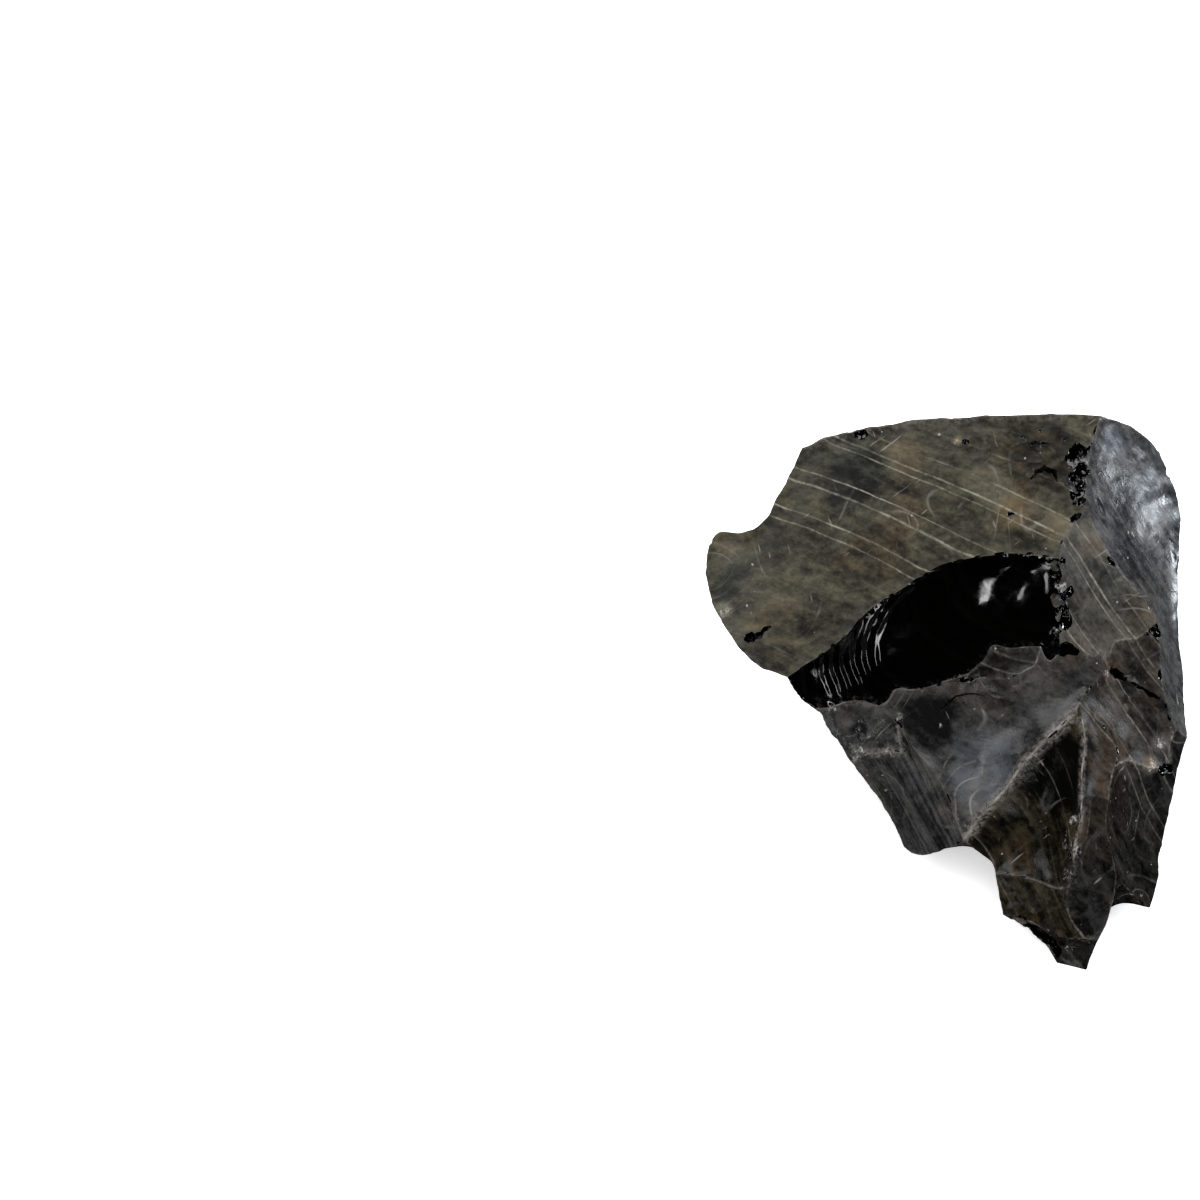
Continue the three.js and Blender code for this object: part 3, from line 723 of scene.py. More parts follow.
def placed_chips(ridges, tree, points, triangles):
    """Every chip, the named ones first, as its middle and then what chip_shape needs."""
    normals = point_normals(points, triangles)

    def landing(place):
        """The nearest place on the surface, and which way the surface faces there."""
        middle, _, face, _ = tree.find_nearest(Vector(place))
        return np.array(middle), unit(normals[triangles[face]].mean(0))

    chips = []
    for place, width, stretch, depth, finish, ragged in CHIPS:
        middle, normal = landing(at(*place))
        _, nearest = ridges.distances([middle])
        along = ridges.along[nearest[0]]
        chips.append((middle, normal, along, width, stretch, depth, CRUSH * ragged, finish))
    draw = random.Random(11)
    for path, spread, count, smallest, largest in BROKEN_EDGES:
        route = [at(*place) for place in path]
        for _ in range(count):
            step = draw.random() * (len(route) - 1)
            start = min(int(step), len(route) - 2)
            place = route[start] + (route[start + 1] - route[start]) * (step - start)
            place = place + np.array([draw.uniform(-spread, spread) for _ in range(3)])
            middle, normal = landing(place)
            along = np.array([draw.uniform(-1, 1) for _ in range(3)])
            width = smallest + (largest - smallest) * draw.random() ** 1.5
            depth = width * draw.uniform(0.14, 0.26)
            finish = draw.choice(["fresh", "fresh", "fresh", "slate", "ash"])
            stretch = draw.uniform(1.0, 1.7)
            chips.append((middle, normal, along, width, stretch, depth, CRUSH, finish))
    finishes = [finish for _, finish in SCARS.values()]
    hidden = (ridges.owners >= FIRST_UNSEEN).all(axis=1)
    inner = hidden & (ridges.front_distances(ridges.middles) > THIN)
    sharp = np.flatnonzero((ridges.bend > CHIPPED_BEND) & ((ridges.middles[:, 2] > 1.0) | hidden))
    for _ in range(RIDGE_CHIPS):
        number = draw.choice(sharp.tolist())
        middle = ridges.middles[number]
        lean = normals[ridges.edges[number]].mean(0)
        normal = unit(lean + unit(np.cross(lean, ridges.along[number])) * draw.uniform(-0.9, 0.9))
        roomy = inner[number] and thickness(tree, middle, normal) > THIN
        width = NARROWEST + (BACK_RANGE if roomy else FRONT_RANGE) * draw.random() ** 2.0
        stretch = 1.4 + 1.8 * draw.random()
        depth = width * (0.08 + 0.10 * draw.random())
        old = width > LARGE and draw.random() < OLD_SHARE or width > ALL_OLD
        finish = finishes[draw.choice(ridges.owners[number].tolist())] if old else "fresh"
        rough = CRUSH if width > LARGE else NIBBLE
        chips.append((middle, normal, ridges.along[number], width, stretch, depth, rough, finish))
    return chips


CRACK_STEPS = 4       # into how many steps each stretch of a crack is cut
LIP_SIZE = 0.8        # how long the dents in a crack's lips are
LIP_WANDER = 0.35     # how far the lips wander for the crack's width
WIDE_CRACK = 1.2      # the lips of a crack wider than this wander no further


def crack_shape(tree, places, widths, depth, finish):
    """A thin wedge that opens a crack along a surface: at each place a diamond, closed at both ends."""
    wedge = bmesh.new()
    path = np.array([at(*place) for place in places])
    turns = np.linspace(0, len(path) - 1, CRACK_STEPS * (len(path) - 1) + 1)
    route = np.stack([np.interp(turns, range(len(path)), path[:, k]) for k in range(3)], 1)
    gape = np.interp(turns, range(len(path)), widths)
    rings = []
    for number, (place, width) in enumerate(zip(route, gape)):
        middle, normal, _, _ = tree.find_nearest(Vector(place))
        ahead = Vector(route[min(number + 1, len(route) - 1)] - route[max(number - 1, 0)])
        side = normal.cross(ahead).normalized()
        jitter = noise.noise_vector(middle / LIP_SIZE) * LIP_WANDER * min(width, WIDE_CRACK)
        corners = (side * width / 2, normal * width, -side * width / 2, -normal * width * depth)
        rings.append([wedge.verts.new((middle + corner + jitter) * MM) for corner in corners])
    for ring, following in zip(rings, rings[1:]):
        for k in range(4):
            wedge.faces.new((ring[k], ring[(k + 1) % 4], following[(k + 1) % 4], following[k]))
    wedge.faces.new(rings[0])
    wedge.faces.new(rings[-1][::-1])
    bmesh.ops.recalc_face_normals(wedge, faces=wedge.faces)
    for face in wedge.faces:
        face.material_index = FINISHES.index(finish)
    return wedge


def chip_groups(chips):
    """Sorts the chips into groups whose members don't touch: overlapping bites can't be cut at once."""
    groups = []
    for chip in chips:
        middle, normal, _, width, stretch, depth, _, _ = chip
        centre, radius = chip_ball(middle, normal, width, depth)
        reach = radius * stretch * 1.1
        for group in groups:
            if all(np.linalg.norm(centre - c) > reach + r for c, r, _ in group):
                group.append((centre, reach, chip))
                break
        else:
            groups.append([(centre, reach, chip)])
    return [[chip for _, _, chip in group] for group in groups]


def drop_crumbs(mesh):
    """Removes flaps with no thickness and the small loose pieces that bites have cut off."""
    body = bmesh.new()
    body.from_mesh(mesh)
    bmesh.ops.remove_doubles(body, verts=body.verts, dist=0.0001 * MM)
    flaps = [face for face in body.faces if all(len(edge.link_faces) != 2 for edge in face.edges)]
    bmesh.ops.delete(body, geom=flaps, context="FACES")
    left = set(body.faces)
    pieces = []
    while left:
        piece = {left.pop()}
        rim = piece
        while rim:
            edges = {edge for face in rim for edge in face.edges if len(edge.link_faces) == 2}
            rim = {face for edge in edges for face in edge.link_faces} - piece
            piece |= rim
        left -= piece
        pieces.append(piece)
    pieces.sort(key=len)
    crumbs = [face for piece in pieces[:-1] for face in piece]
    bmesh.ops.delete(body, geom=crumbs, context="FACES")
    body.to_mesh(mesh)
    body.free()


def add_object(name, data):
    made = bpy.data.objects.new(name, data)
    bpy.context.scene.collection.objects.link(made)
    return made


def joined_mesh(name, shapes, materials):
    joined = bmesh.new()
    for shape in shapes:
        part = bpy.data.meshes.new("part")
        shape.to_mesh(part)
        shape.free()
        joined.from_mesh(part)
        bpy.data.meshes.remove(part)
    mesh = bpy.data.meshes.new(name)
    joined.to_mesh(mesh)
    joined.free()
    for material in materials:
        mesh.materials.append(material)
    return mesh


def bite(stone, batches):
    """Cuts batches of shapes out of the stone; the cut faces keep the finish of the shape."""
    materials = list(stone.data.materials)
    tools = []
    for number, shapes in enumerate(batches):
        tool = add_object(f"bite_{number}", joined_mesh(f"bite_{number}", shapes, materials))
        cut = stone.modifiers.new(f"bite_{number}", "BOOLEAN")
        cut.operation = "DIFFERENCE"
        cut.solver = "MANIFOLD"
        cut.object = tool
        tools.append(tool)
    bpy.context.view_layer.update()
    evaluated = stone.evaluated_get(bpy.context.evaluated_depsgraph_get())
    mesh = bpy.data.meshes.new_from_object(evaluated)
    stone.modifiers.clear()
    stone.data = mesh
    for tool in tools:
        old = tool.data
        bpy.data.objects.remove(tool)
        bpy.data.meshes.remove(old)


# ---- Finishes ----

class Nodes:
    """A short way to write a material's nodes."""

    def __init__(self, name):
        self.material = bpy.data.materials.new(name)
        self.material.use_nodes = True
        self.tree = self.material.node_tree
        self.tree.nodes.clear()

    def add(self, kind, inputs=None, **settings):
        node = self.tree.nodes.new(kind)
        for key, value in settings.items():
            setattr(node, key, value)
        for key, value in (inputs or {}).items():
            self.put(node.inputs[key], value)
        return node

    def put(self, socket, value):
        if isinstance(value, bpy.types.NodeSocket):
            self.tree.links.new(value, socket)
        else:
            socket.default_value = value

    def math(self, operation, a, b=0.0, c=0.0, clamp=False):
        node = self.add("ShaderNodeMath", operation=operation, use_clamp=clamp)
        for socket, value in zip(node.inputs, (a, b, c)):
            self.put(socket, value)
        return node.outputs[0]

    def chain(self, operation, values):
        """One operation over several values, from the first to the last."""
        total, *others = values
        for value in others:
            total = self.math(operation, total, value)
        return total

    def times(self, *values):
        return self.chain("MULTIPLY", values)

    def plus(self, *values):
        return self.chain("ADD", values)

    def most(self, *values):
        return self.chain("MAXIMUM", values)

    def weighted(self, *pairs):
        """The sum of some values, each times its weight."""
        return self.plus(*(self.times(value, weight) for value, weight in pairs))

    def swing(self, value, amount):
        """A value between 0 and 1 turned into a swing of that amount about 0."""
        return self.times(self.math("SUBTRACT", value, 0.5), amount)

    def off(self, value, level):
        """How far a value is from a level."""
        return self.math("ABSOLUTE", self.math("SUBTRACT", value, level))

    def stored(self, name):
        """A value that the mesh stores for each point."""
        return self.add("ShaderNodeAttribute", attribute_name=name).outputs["Fac"]

    def millimetres(self):
        """The place in the stone, in millimetres."""
        position = self.add("ShaderNodeTexCoord").outputs["Object"]
        return self.vector("MULTIPLY", position, (1 / MM, 1 / MM, 1 / MM))

    def join(self, parts):
        return self.add("ShaderNodeCombineXYZ", dict(zip("XYZ", parts))).outputs["Vector"]

    def channel(self, colour, number):
        return self.add("ShaderNodeSeparateColor", {"Color": colour}).outputs[number]

    def surface(self, inputs, height=None):
        """Ends the material with a shader, and with bumps where a height in millimetres is given."""
        if height is not None:
            bump = self.add("ShaderNodeBump", {"Height": height, "Strength": 1.0, "Distance": MM})
            inputs["Normal"] = bump.outputs["Normal"]
        shader = self.add("ShaderNodeBsdfPrincipled", inputs)
        self.add("ShaderNodeOutputMaterial", {"Surface": shader.outputs["BSDF"]})
        return self.material

    def vector(self, operation, a, b=(0, 0, 0)):
        node = self.add("ShaderNodeVectorMath", {0: a, 1: b}, operation=operation)
        return node.outputs["Value" if operation in ("DOT_PRODUCT", "DISTANCE", "LENGTH") else "Vector"]

    def noise(self, vector, scale, detail=2.0, roughness=0.5):
        node = self.add("ShaderNodeTexNoise", {
            "Vector": vector, "Scale": scale, "Detail": detail, "Roughness": roughness,
        })
        return node.outputs["Fac"]

    def line_noise(self, place, scale, detail=2.0, roughness=0.5):
        node = self.add("ShaderNodeTexNoise", {
            "W": place, "Scale": scale, "Detail": detail, "Roughness": roughness,
        }, noise_dimensions="1D")
        return node.outputs["Fac"]

    def ramp(self, value, low, high):
        """0 below low and 1 above high, or the other way round where low is the greater."""
        node = self.add("ShaderNodeMapRange", {
            "Value": value, "From Min": low, "From Max": high, "To Min": 0.0, "To Max": 1.0,
        }, interpolation_type="SMOOTHSTEP", clamp=True)
        return node.outputs["Result"]

    def mix(self, share, a, b):
        """A colour that goes from a to b."""
        node = self.add("ShaderNodeMix", data_type="RGBA")
        for socket, value in zip((node.inputs["Factor"], node.inputs[6], node.inputs[7]), (share, a, b)):
            self.put(socket, value)
        return node.outputs[2]

    def blend(self, share, a, b):
        """A number that goes from a to b."""
        node = self.add("ShaderNodeMix", data_type="FLOAT")
        for socket, value in zip((node.inputs["Factor"], node.inputs[2], node.inputs[3]), (share, a, b)):
            self.put(socket, value)
        return node.outputs[0]


def rgb(red, green, blue):
    return (red, green, blue, 1.0)


# The lava's flow layers cross the stone: bands show where a face cuts them. They fold round in
# the leg and the lobe.
FLOW = Vector((0.523, 0.846, -0.105))
FOLDED_FLOW = Vector((0.68, -0.14, 0.72)).normalized()
# Pale layers: how far along the flow's normal from the middle of the base, and half their thickness
PALE_LAYERS = [(3.05, 0.22), (-1.7, 0.16), (5.05, 0.13), (11.7, 0.20), (10.45, 0.15), (-3.6, 0.15)]


PALE = rgb(0.190, 0.180, 0.145)       # the flow's lines
DUST = rgb(0.250, 0.245, 0.225)       # scratches, threads and specks
RUBBED = rgb(0.178, 0.163, 0.146)     # worn ridges
# the colour of crushed spots and of the painted glints among them
CRUSHED_AND_GLINTS = rgb(0.300, 0.295, 0.285)    # whitened spots
BROWNER = (1.0, 0.83, 0.68)           # shares of the film's red, green and blue where it is browner
BLUER = (0.84, 0.97, 1.15)            # and where it is bluer


def aged_glass(name, shade, light, film, flow, stripes, gloss, dull, shine, threads, normal=FLOW,
               crinkle=1.0):
    """Weathered obsidian: dark glass under a thin uneven film, crossed by the lava's flow layers."""
    n = Nodes(name)
    place = n.millimetres()

    # flow layers: how deep in them a place lies, and the place pushed apart along them
    layer = n.plus(n.vector("DOT_PRODUCT", place, normal), n.swing(n.noise(place, 0.05, 2.0), 0.5))
    layered = n.vector("ADD", place, n.join(n.times(layer, 2.2 * part) for part in normal))
    bands = n.line_noise(layer, 0.30, 2.0, 0.5)
    ribs = n.line_noise(layer, 0.62, 3.0, 0.65)
    lines = flow_lines(n, place, layer, layered, PALE_LAYERS if normal is FLOW else [])

    # film: cloudy and smeared along the layers, thicker in places; the stored tone also brings in painted
    # highlights, sheen and shade
    clouds = n.noise(layered, 0.06, 3.0, 0.55)
    mottle = n.noise(layered, 0.17, 5.0, 0.66)
    grain = n.noise(place, 0.9, 5.0, 0.74)
    smear = n.noise(n.vector("MULTIPLY", place, (0.45, 0.9, 0.25)), 0.55, 5.0, 0.68)
    swings = ((clouds, 0.8), (mottle, 1.2), (grain, 0.9), (smear, 0.9), (ribs, stripes))
    film_and_painted_light = n.plus(film, *(n.swing(field, amount) for field, amount in swings), n.stored("tone"))
    colour = n.mix(n.ramp(film_and_painted_light, -0.25, 1.25), rgb(*shade), film_colour(n, place, light))
    colour = n.mix(n.math("MULTIPLY", lines, flow, clamp=True), colour, PALE)

    # marks: scratches, curved threads, dust specks, rubbed ridges, and crushed spots with painted glints
    # among them
    scratch = n.most(scratches(n, place, (0.8, 0.5, 0.3)), scratches(n, place, (-0.3, 0.8, 0.5)))
    wisp = wisps(n, place, 0.050, 0.16)
    marks = n.most(n.times(scratch, 0.30), n.times(specks(n, place), 0.6), n.times(wisp, threads))
    worn = rubbed_edge(n, place)
    # the last of these mixes in the crushed spots and the painted glints
    for share, mark in ((marks, DUST), (n.times(worn, 0.85), RUBBED), (frost_and_glint_share(n, place), CRUSHED_AND_GLINTS)):
        colour = n.mix(share, colour, mark)

    rough = n.blend(n.ramp(n.weighted((mottle, 1.6), (grain, 0.9)), 0.95, 1.55), gloss, dull)
    rough = n.math("ADD", rough, n.times(n.most(marks, worn), 0.25), clamp=True)
    height = n.weighted((mottle, 0.12 * crinkle), (grain, 0.022 * crinkle), (bands, 0.06 * flow),
                        (ribs, 0.05 * stripes), (lines, 0.03), (wisp, 0.02), (scratch, -0.02))
    shader = {"Base Color": colour, "Roughness": rough, "IOR": 1.5, "Specular IOR Level": shine}
    return n.surface(shader, height)


def flow_lines(n, place, layer, layered, named):
    """Thin pale lines along the flow layers, broken and worn through; the named ones have their places."""
    cells = n.add("ShaderNodeTexVoronoi", {"W": layer, "Scale": 0.20, "Randomness": 1.0},
                  voronoi_dimensions="1D", feature="F1")
    thin = n.ramp(cells.outputs["Distance"], 0.045, 0.0)
    chosen = n.ramp(n.channel(cells.outputs["Color"], 0), 0.3, 1.0)
    broken = n.ramp(n.noise(layered, 0.10, 4.0, 0.65), 0.40, 0.66)
    lines = n.times(thin, chosen, n.times(broken, 0.7))
    for depth, half in named:
        near = n.ramp(n.off(layer, depth), half * 1.4, 0.0)
        lines = n.most(lines, n.times(near, n.plus(0.30, n.times(broken, 0.70))))
    worn_through = n.ramp(n.noise(place, 0.9, 4.0, 0.7), 0.35, 0.60)
    return n.times(lines, n.plus(0.35, n.times(worn_through, 0.65)))


def film_colour(n, place, light):
    """The film, browner in some places and bluer in others."""
    browner, bluer = (rgb(*(np.array(light) * shares)) for shares in (BROWNER, BLUER))
    tint = n.plus(n.swing(n.noise(place, 0.06, 4.0, 0.6), 4.0), n.stored("warmth"))
    tinted = n.mix(n.ramp(tint, 0.0, 1.0), rgb(*light), browner)
    return n.mix(n.ramp(tint, 0.0, -1.0), tinted, bluer)


def specks(n, place):
    """Specks of dust with ragged rims."""
    dots = n.add("ShaderNodeTexVoronoi", {"Vector": place, "Scale": 0.42, "Randomness": 1.0}, feature="F1")
    size = n.times(n.ramp(n.channel(dots.outputs["Color"], 1), 0.86, 1.0), 0.12)
    return n.math("LESS_THAN", n.plus(dots.outputs["Distance"], n.swing(n.noise(place, 2.0), 0.20)), size)


def rubbed_edge(n, place):
    """A crisp broken line along each ridge, with a soft border where the ridge is much worn."""
    wear = n.stored("wear")
    grain = n.noise(place, 0.9, 5.0, 0.75)
    ragged = n.plus(n.stored("ridge_gap"), n.swing(grain, 3.0))
    broken = n.ramp(n.noise(place, 0.20, 4.0, 0.65), 0.40, 0.60)
    crisp = n.times(n.ramp(ragged, 1.0, 0.0), n.plus(0.15, n.times(broken, 0.75)))
    dusty = n.times(n.ramp(ragged, 4.0, 0.4), n.ramp(grain, 0.40, 0.70))
    soft = n.times(dusty, n.times(wear, 0.45))
    return n.math("MULTIPLY", n.most(crisp, soft), wear, clamp=True)


def wisps(n, place, scale, thickness):
    """Fine curved threads, broken and in clusters."""
    field = n.noise(place, scale, 1.0, 0.5)
    broken = n.ramp(n.noise(place, scale * 2.5, 4.0, 0.6), 0.44, 0.62)
    levels = (0.40, 0.47, 0.55, 0.62)
    thread = n.most(0.0, *(n.ramp(n.off(field, level), thickness * scale, 0.0) for level in levels))
    cluster = n.ramp(n.noise(place, 0.08, 3.0, 0.6), 0.46, 0.62)
    return n.times(n.times(thread, broken), n.plus(0.2, n.times(cluster, 0.8)))


def frost_and_glint_share(n, place):
    """How much a place is whitened, at crushed spots and at painted glints: grains that thicken towards the
    middle of a spot.
    """
    frost_and_glint = n.stored("frost_and_glint")
    grains = n.plus(n.noise(place, 1.1, 6.0, 0.75), n.times(frost_and_glint, 0.22))
    return n.times(n.ramp(grains, 0.58, 0.80), n.ramp(frost_and_glint, 0.02, 0.5))


def scratches(n, place, direction):
    """Thin straight scratches that run one way, where they come in clusters."""
    along = Vector(direction).normalized()
    side = along.orthogonal().normalized()
    axes = (along * 0.10, side * 1.1, along.cross(side) * 1.1)
    stretched = n.join(n.vector("DOT_PRODUCT", place, axis) for axis in axes)
    streak = n.ramp(n.noise(stretched, 1.0, 1.0, 0.4), 0.71, 0.78)
    return n.times(streak, n.ramp(n.noise(place, 0.12, 2.0), 0.48, 0.60))


def fresh_glass():
    """Newly broken obsidian: black, wet-looking, whitish only where it is crushed and at painted glints."""
    n = Nodes("fresh_obsidian")
    place = n.millimetres()
    streaks = n.line_noise(n.vector("DOT_PRODUCT", place, FLOW), 0.8, 3.0, 0.6)
    smear = n.noise(place, 0.5, 3.0, 0.5)
    colour = n.mix(n.ramp(streaks, 0.45, 0.75), rgb(0.0003, 0.0003, 0.0003), rgb(0.0009, 0.0008, 0.0007))
    crushed = n.times(rubbed_edge(n, place), n.ramp(n.noise(place, 1.3, 3.0, 0.7), 0.50, 0.66))
    colour = n.mix(n.times(crushed, 0.4), colour, rgb(0.25, 0.25, 0.25))
    colour = n.mix(frost_and_glint_share(n, place), colour, rgb(0.22, 0.22, 0.22))
    rough = n.plus(0.06, n.times(n.ramp(smear, 0.40, 0.7), 0.10))
    rough = n.math("ADD", rough, n.times(crushed, 0.3), clamp=True)
    height = n.times(n.noise(place, 0.35, 2.0, 0.5), 0.012)
    return n.surface({"Base Color": colour, "Roughness": rough, "IOR": 1.5}, height)


# The aged finishes: the colours of the glass and of the film, how thick the film is, how strong the
# flow's lines and ribs are, the roughness of glossy and of dull places, how much it shines, how pale
# the threads are and, where they aren't the usual ones, the way across the flow layers and how
# crinkled the film is
AGED = {
    "olive": ((0.005, 0.005, 0.004), (0.092, 0.081, 0.051), 0.22, 0.90, 0.25, 0.32, 0.50, 0.18, 0.18),
    "slate": ((0.005, 0.005, 0.006), (0.072, 0.072, 0.072), 0.34, 0.25, 0.20, 0.16, 0.30, 0.60, 0.22,
              FLOW, 0.75),
    "ash": ((0.006, 0.006, 0.005), (0.086, 0.081, 0.070), 0.31, 0.90, 0.30, 0.28, 0.44, 0.12, 0.25),
    "smoke": ((0.003, 0.003, 0.003), (0.062, 0.059, 0.057), 0.26, 0.15, 0.20, 0.18, 0.34, 0.40, 0.35),
    "ribbed": ((0.003, 0.003, 0.003), (0.048, 0.047, 0.046), 0.24, 0.30, 1.80, 0.18, 0.30, 0.35, 0.20,
               FOLDED_FLOW),
    # amber and pitch, on the leg, the toe and the faces that look down, are dark partly from the glass's
    # own black and partly as painted shade
    "amber": ((0.001, 0.001, 0.0006), (0.044, 0.035, 0.020), 0.06, 0.50, 0.60, 0.12, 0.26, 0.25, 0.16,
              FOLDED_FLOW),
    "ink": ((0.003, 0.003, 0.003), (0.070, 0.057, 0.046), 0.12, 0.40, 0.45, 0.24, 0.36, 0.12, 0.25),
    "pitch": ((0.001, 0.001, 0.001), (0.036, 0.034, 0.032), 0.10, 0.35, 0.35, 0.14, 0.26, 0.18, 0.16),
    "jet": ((0.001, 0.001, 0.001), (0.040, 0.039, 0.038), 0.06, 0.35, 0.50, 0.10, 0.22, 0.75, 0.12,
            FLOW, 0.2),
}


def make_finishes():
    """The materials, in the order of FINISHES."""
    made = {finish: aged_glass(f"{finish}_obsidian", *values) for finish, values in AGED.items()}
    made["fresh"] = fresh_glass()
    return [made[finish] for finish in FINISHES]


# ---- The stone ----

def mesh_of(name, points, triangles):
    mesh = bpy.data.meshes.new(name)
    mesh.from_pydata((points * MM).tolist(), [], triangles.tolist())
    mesh.update()
    return mesh


def store(mesh, name, values, kind="FLOAT", domain="POINT"):
    mesh.attributes.new(name, kind, domain).data.foreach_set("value", values)


def mark_surface(mesh, ridges):
    """Stores for each point how rubbed it is, how light and how warm the film is there with painted
    highlights, sheen and shade added, and how whitened it is, by crushing and at the painted glints.
    """
    points = np.empty(len(mesh.vertices) * 3, np.float32)
    mesh.vertices.foreach_get("co", points)
    points = points.reshape(-1, 3).astype(float) / MM

    clear, nearest = ridges.distances(points)
    wear = {tuple(sorted(SCAR_NAMES.index(name) for name in pair)): value for pair, value in WORN.items()}
    each = np.array([wear.get(tuple(pair), WORN_ELSEWHERE) for pair in ridges.owners.tolist()])
    strength, width = each[nearest].T
    store(mesh, "wear", strength.astype(np.float32))
    store(mesh, "ridge_gap", (clear / width).astype(np.float32))

    # the tone carries the film's patches and the painted highlights, sheen and shade among them
    tone = np.zeros(len(points))
    warmth = np.zeros(len(points))
    stray = fractal(points, 4.0, 4, offset=5.0)
    for place, reach, lightness, warm in PATCHES:
        far = gap(points, place) / reach
        share = 1 - smoothstep(0.5, 1.2, far + 0.35 * stray)
        tone += share * lightness
        warmth += share * warm
    # crushed spots and painted glints
    frost_and_glint = np.zeros(len(points))
    for place, reach, amount in FROST_AND_GLINTS:
        far = gap(points, place) / reach
        frost_and_glint = np.maximum(frost_and_glint, amount * (1 - smoothstep(0.3, 1.3, far + 0.25 * stray)))
    store(mesh, "tone", tone.astype(np.float32))
    store(mesh, "warmth", warmth.astype(np.float32))
    store(mesh, "frost_and_glint", frost_and_glint.astype(np.float32))


def sharpen(mesh):
    """Smooth shading inside each scar and chip, with the edges between them sharp."""
    mesh.shade_smooth()
    scar = np.zeros(len(mesh.polygons), np.int32)
    mesh.attributes["scar"].data.foreach_get("value", scar)
    faces = bmesh.new()
    faces.from_mesh(mesh)
    for edge in faces.edges:
        owners = {int(scar[face.index]) for face in edge.link_faces}
        edge.smooth = len(owners) == 1 and edge.calc_face_angle(0) < STEEP
    faces.to_mesh(mesh)
    faces.free()


def make_stone():
    points, triangles = solid_arrays(NODE)
    label = find_scars(points, triangles)
    for _ in range(2):
        points, triangles, label = refine(points, triangles, label)
    points, triangles, label = split_scars(points, triangles, label, ["scoop", "step_scar"])
    points = carve(points, triangles, label)
    ridges = Ridges(points, triangles, label)

    mesh = mesh_of("obsidian_stone", points, triangles)
    for material in make_finishes():
        mesh.materials.append(material)
    finish_of = np.array([FINISHES.index(finish) for _, finish in SCARS.values()])
    mesh.polygons.foreach_set("material_index", finish_of[label].astype(np.int32))
    stone = add_object("obsidian_stone", mesh)

    store(mesh, "scar", (label + 1).astype(np.int32), "INT", "FACE")
    tree = surface_tree(points, triangles)
    batches = [[crack_shape(tree, *crack) for crack in CRACKS]]
    for group in chip_groups(placed_chips(ridges, tree, points, triangles)):
        batches.append([chip_shape(*chip) for chip in group])
    bite(stone, batches)
    drop_crumbs(stone.data)
    mark_surface(stone.data, ridges)
    sharpen(stone.data)
    return stone


# ---- Floor, lights and camera ----

def plain_material(name, colour, roughness, glow):
    return Nodes(name).surface({
        "Base Color": colour, "Roughness": roughness, "Emission Color": colour, "Emission Strength": glow,
    })


FLOOR_HALF = 3.0      # half the width of the floor, in metres


def make_floor():
    mesh = bpy.data.meshes.new("floor")
    corners = [(-1, -1), (1, -1), (1, 1), (-1, 1)]
    mesh.from_pydata([(FLOOR_HALF * x, FLOOR_HALF * y, 0) for x, y in corners], [], [(0, 1, 2, 3)])
    mesh.materials.append(plain_material("floor_paper", rgb(0.88, 0.88, 0.88), 0.9, 0.5))
    floor = add_object("floor", mesh)
    floor.visible_glossy = False
    return floor


LAMP_AIM = Vector((0, 0, 0.03))       # the lamps face this place inside the stone


def area_light(name, low, high, width, distance, power, colour=(1, 1, 1)):
    """A soft box that faces the stone. It spans from one direction to another, each an azimuth (0 is
    behind the stone, 90 its right, 180 its front) and an elevation."""
    ends = [LAMP_AIM + way(*direction) * distance for direction in (low, high)]
    middle = (ends[0] + ends[1]) / 2
    facing = (middle - LAMP_AIM).normalized()
    length = (ends[1] - ends[0]).length
    upward = (ends[1] - ends[0]).normalized()
    across = upward.cross(facing).normalized()
    data = bpy.data.lights.new(name, "AREA")
    data.shape = "RECTANGLE"
    data.size, data.size_y = width, length
    data.energy = power
    data.color = colour
    lamp = add_object(name, data)
    lamp.location = middle
    lamp.rotation_euler = Matrix((across, facing.cross(across), facing)).transposed().to_euler()
    return lamp


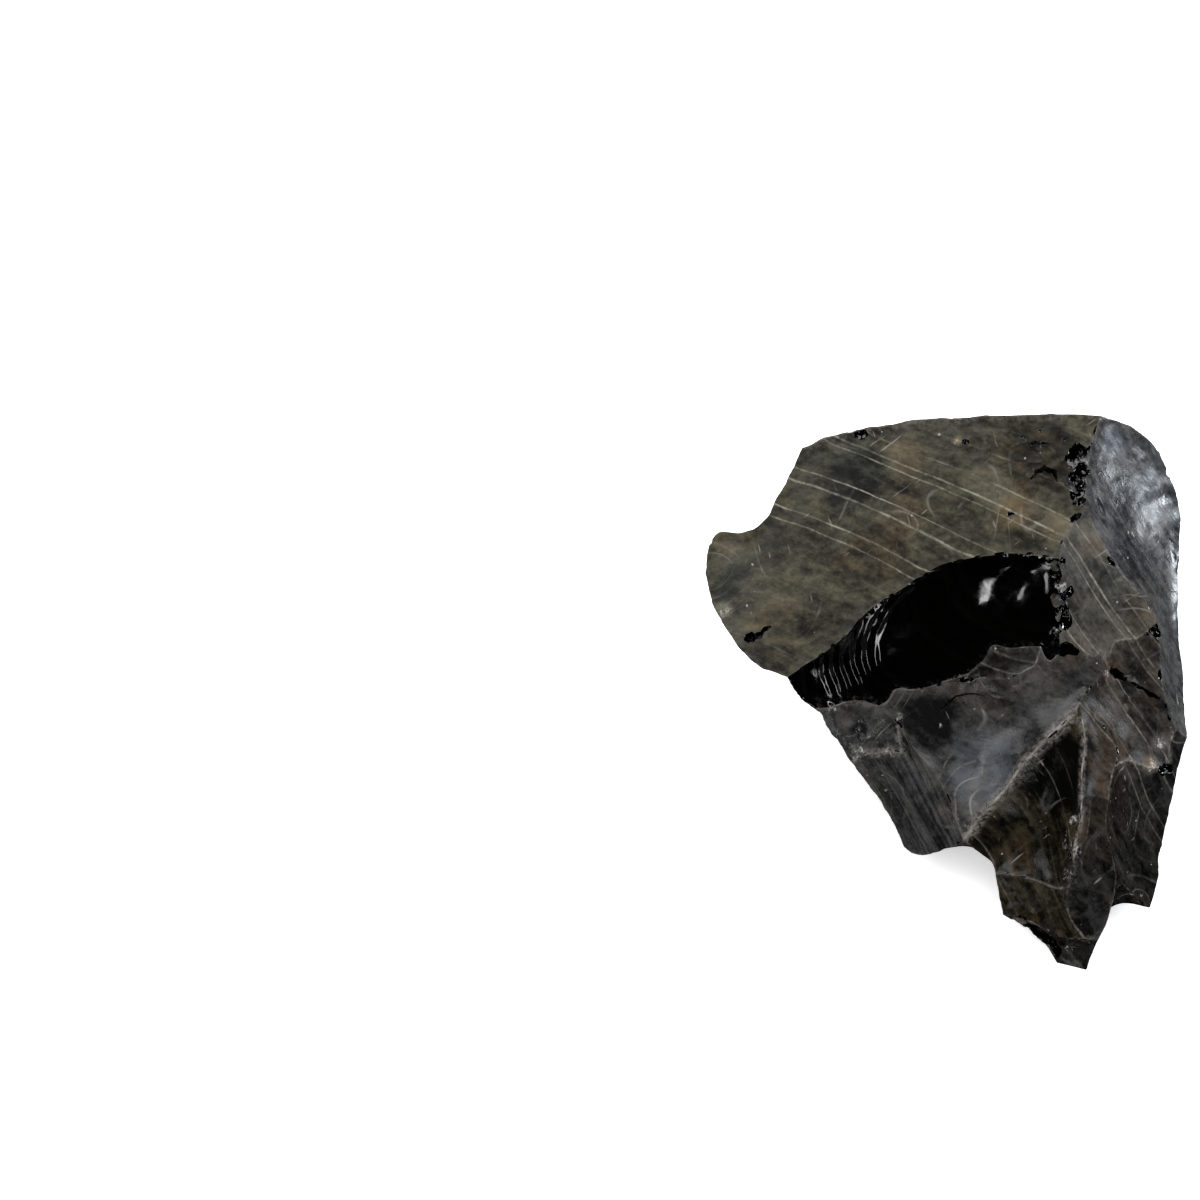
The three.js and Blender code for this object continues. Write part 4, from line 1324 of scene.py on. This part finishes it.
def way(azimuth, elevation):
    turn, rise = math.radians(azimuth), math.radians(elevation)
    return Vector((math.sin(turn) * math.cos(rise), math.cos(turn) * math.cos(rise), math.sin(rise)))


def make_world(strength):
    """An even white surrounding. The glass doesn't mirror it: it mirrors only the lamps."""
    world = bpy.data.worlds.new("studio")
    world.use_nodes = True
    background = world.node_tree.nodes["Background"]
    background.inputs["Color"].default_value = rgb(1.0, 1.0, 1.0)
    background.inputs["Strength"].default_value = strength
    world.cycles_visibility.glossy = False
    bpy.context.scene.world = world


CAMERA_ELEVATION = 50.0
CAMERA_LENS = 100.0
CAMERA_DISTANCE = 613.8       # in millimetres, from where it looks
# The camera looks left of the stone, so that the stone stands right of the middle.
CAMERA_AIM = (-0.2207, 0.5147, 0.7033)


def make_camera():
    rise = math.radians(CAMERA_ELEVATION)
    back = Vector((0, -math.cos(rise), math.sin(rise)))
    data = bpy.data.cameras.new("camera")
    data.lens = CAMERA_LENS
    data.sensor_width = 36.0
    data.clip_start, data.clip_end = 0.01, 20.0
    camera = add_object("camera", data)
    camera.location = (Vector(at(*CAMERA_AIM)) + back * CAMERA_DISTANCE) * MM
    camera.rotation_euler = back.to_track_quat("Z", "Y").to_euler()
    bpy.context.scene.camera = camera


make_camera()
stone = make_stone()
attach(stone, "root")
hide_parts(NODE)
floor = make_floor()
overhead = area_light("overhead", (180, 52), (0, 52), 2.6, 2.1, 20)
overhead.visible_glossy = False
area_light("window", (93, 18), (93, 29), 0.17, 1.2, 5.0, (0.86, 0.93, 1.0))
area_light("left_fill", (-84, 32), (-84, 52), 0.45, 1.3, 2.4, (0.95, 0.97, 1.0))
area_light("strip_left", (-163, -11), (-154, 12), 0.04, 1.0, 0.7)
area_light("strip_front", (-137, 1), (-133, 9), 0.05, 1.0, 0.15)
area_light("strip_right", (133, -22), (157, 18), 0.026, 1.0, 0.8)
area_light("back_left", (-35, 20), (-35, 60), 0.8, 1.5, 9.0)
area_light("back_right", (40, 20), (40, 60), 0.8, 1.5, 9.0)
make_world(1.3)
bpy.context.scene.view_settings.view_transform = "Standard"
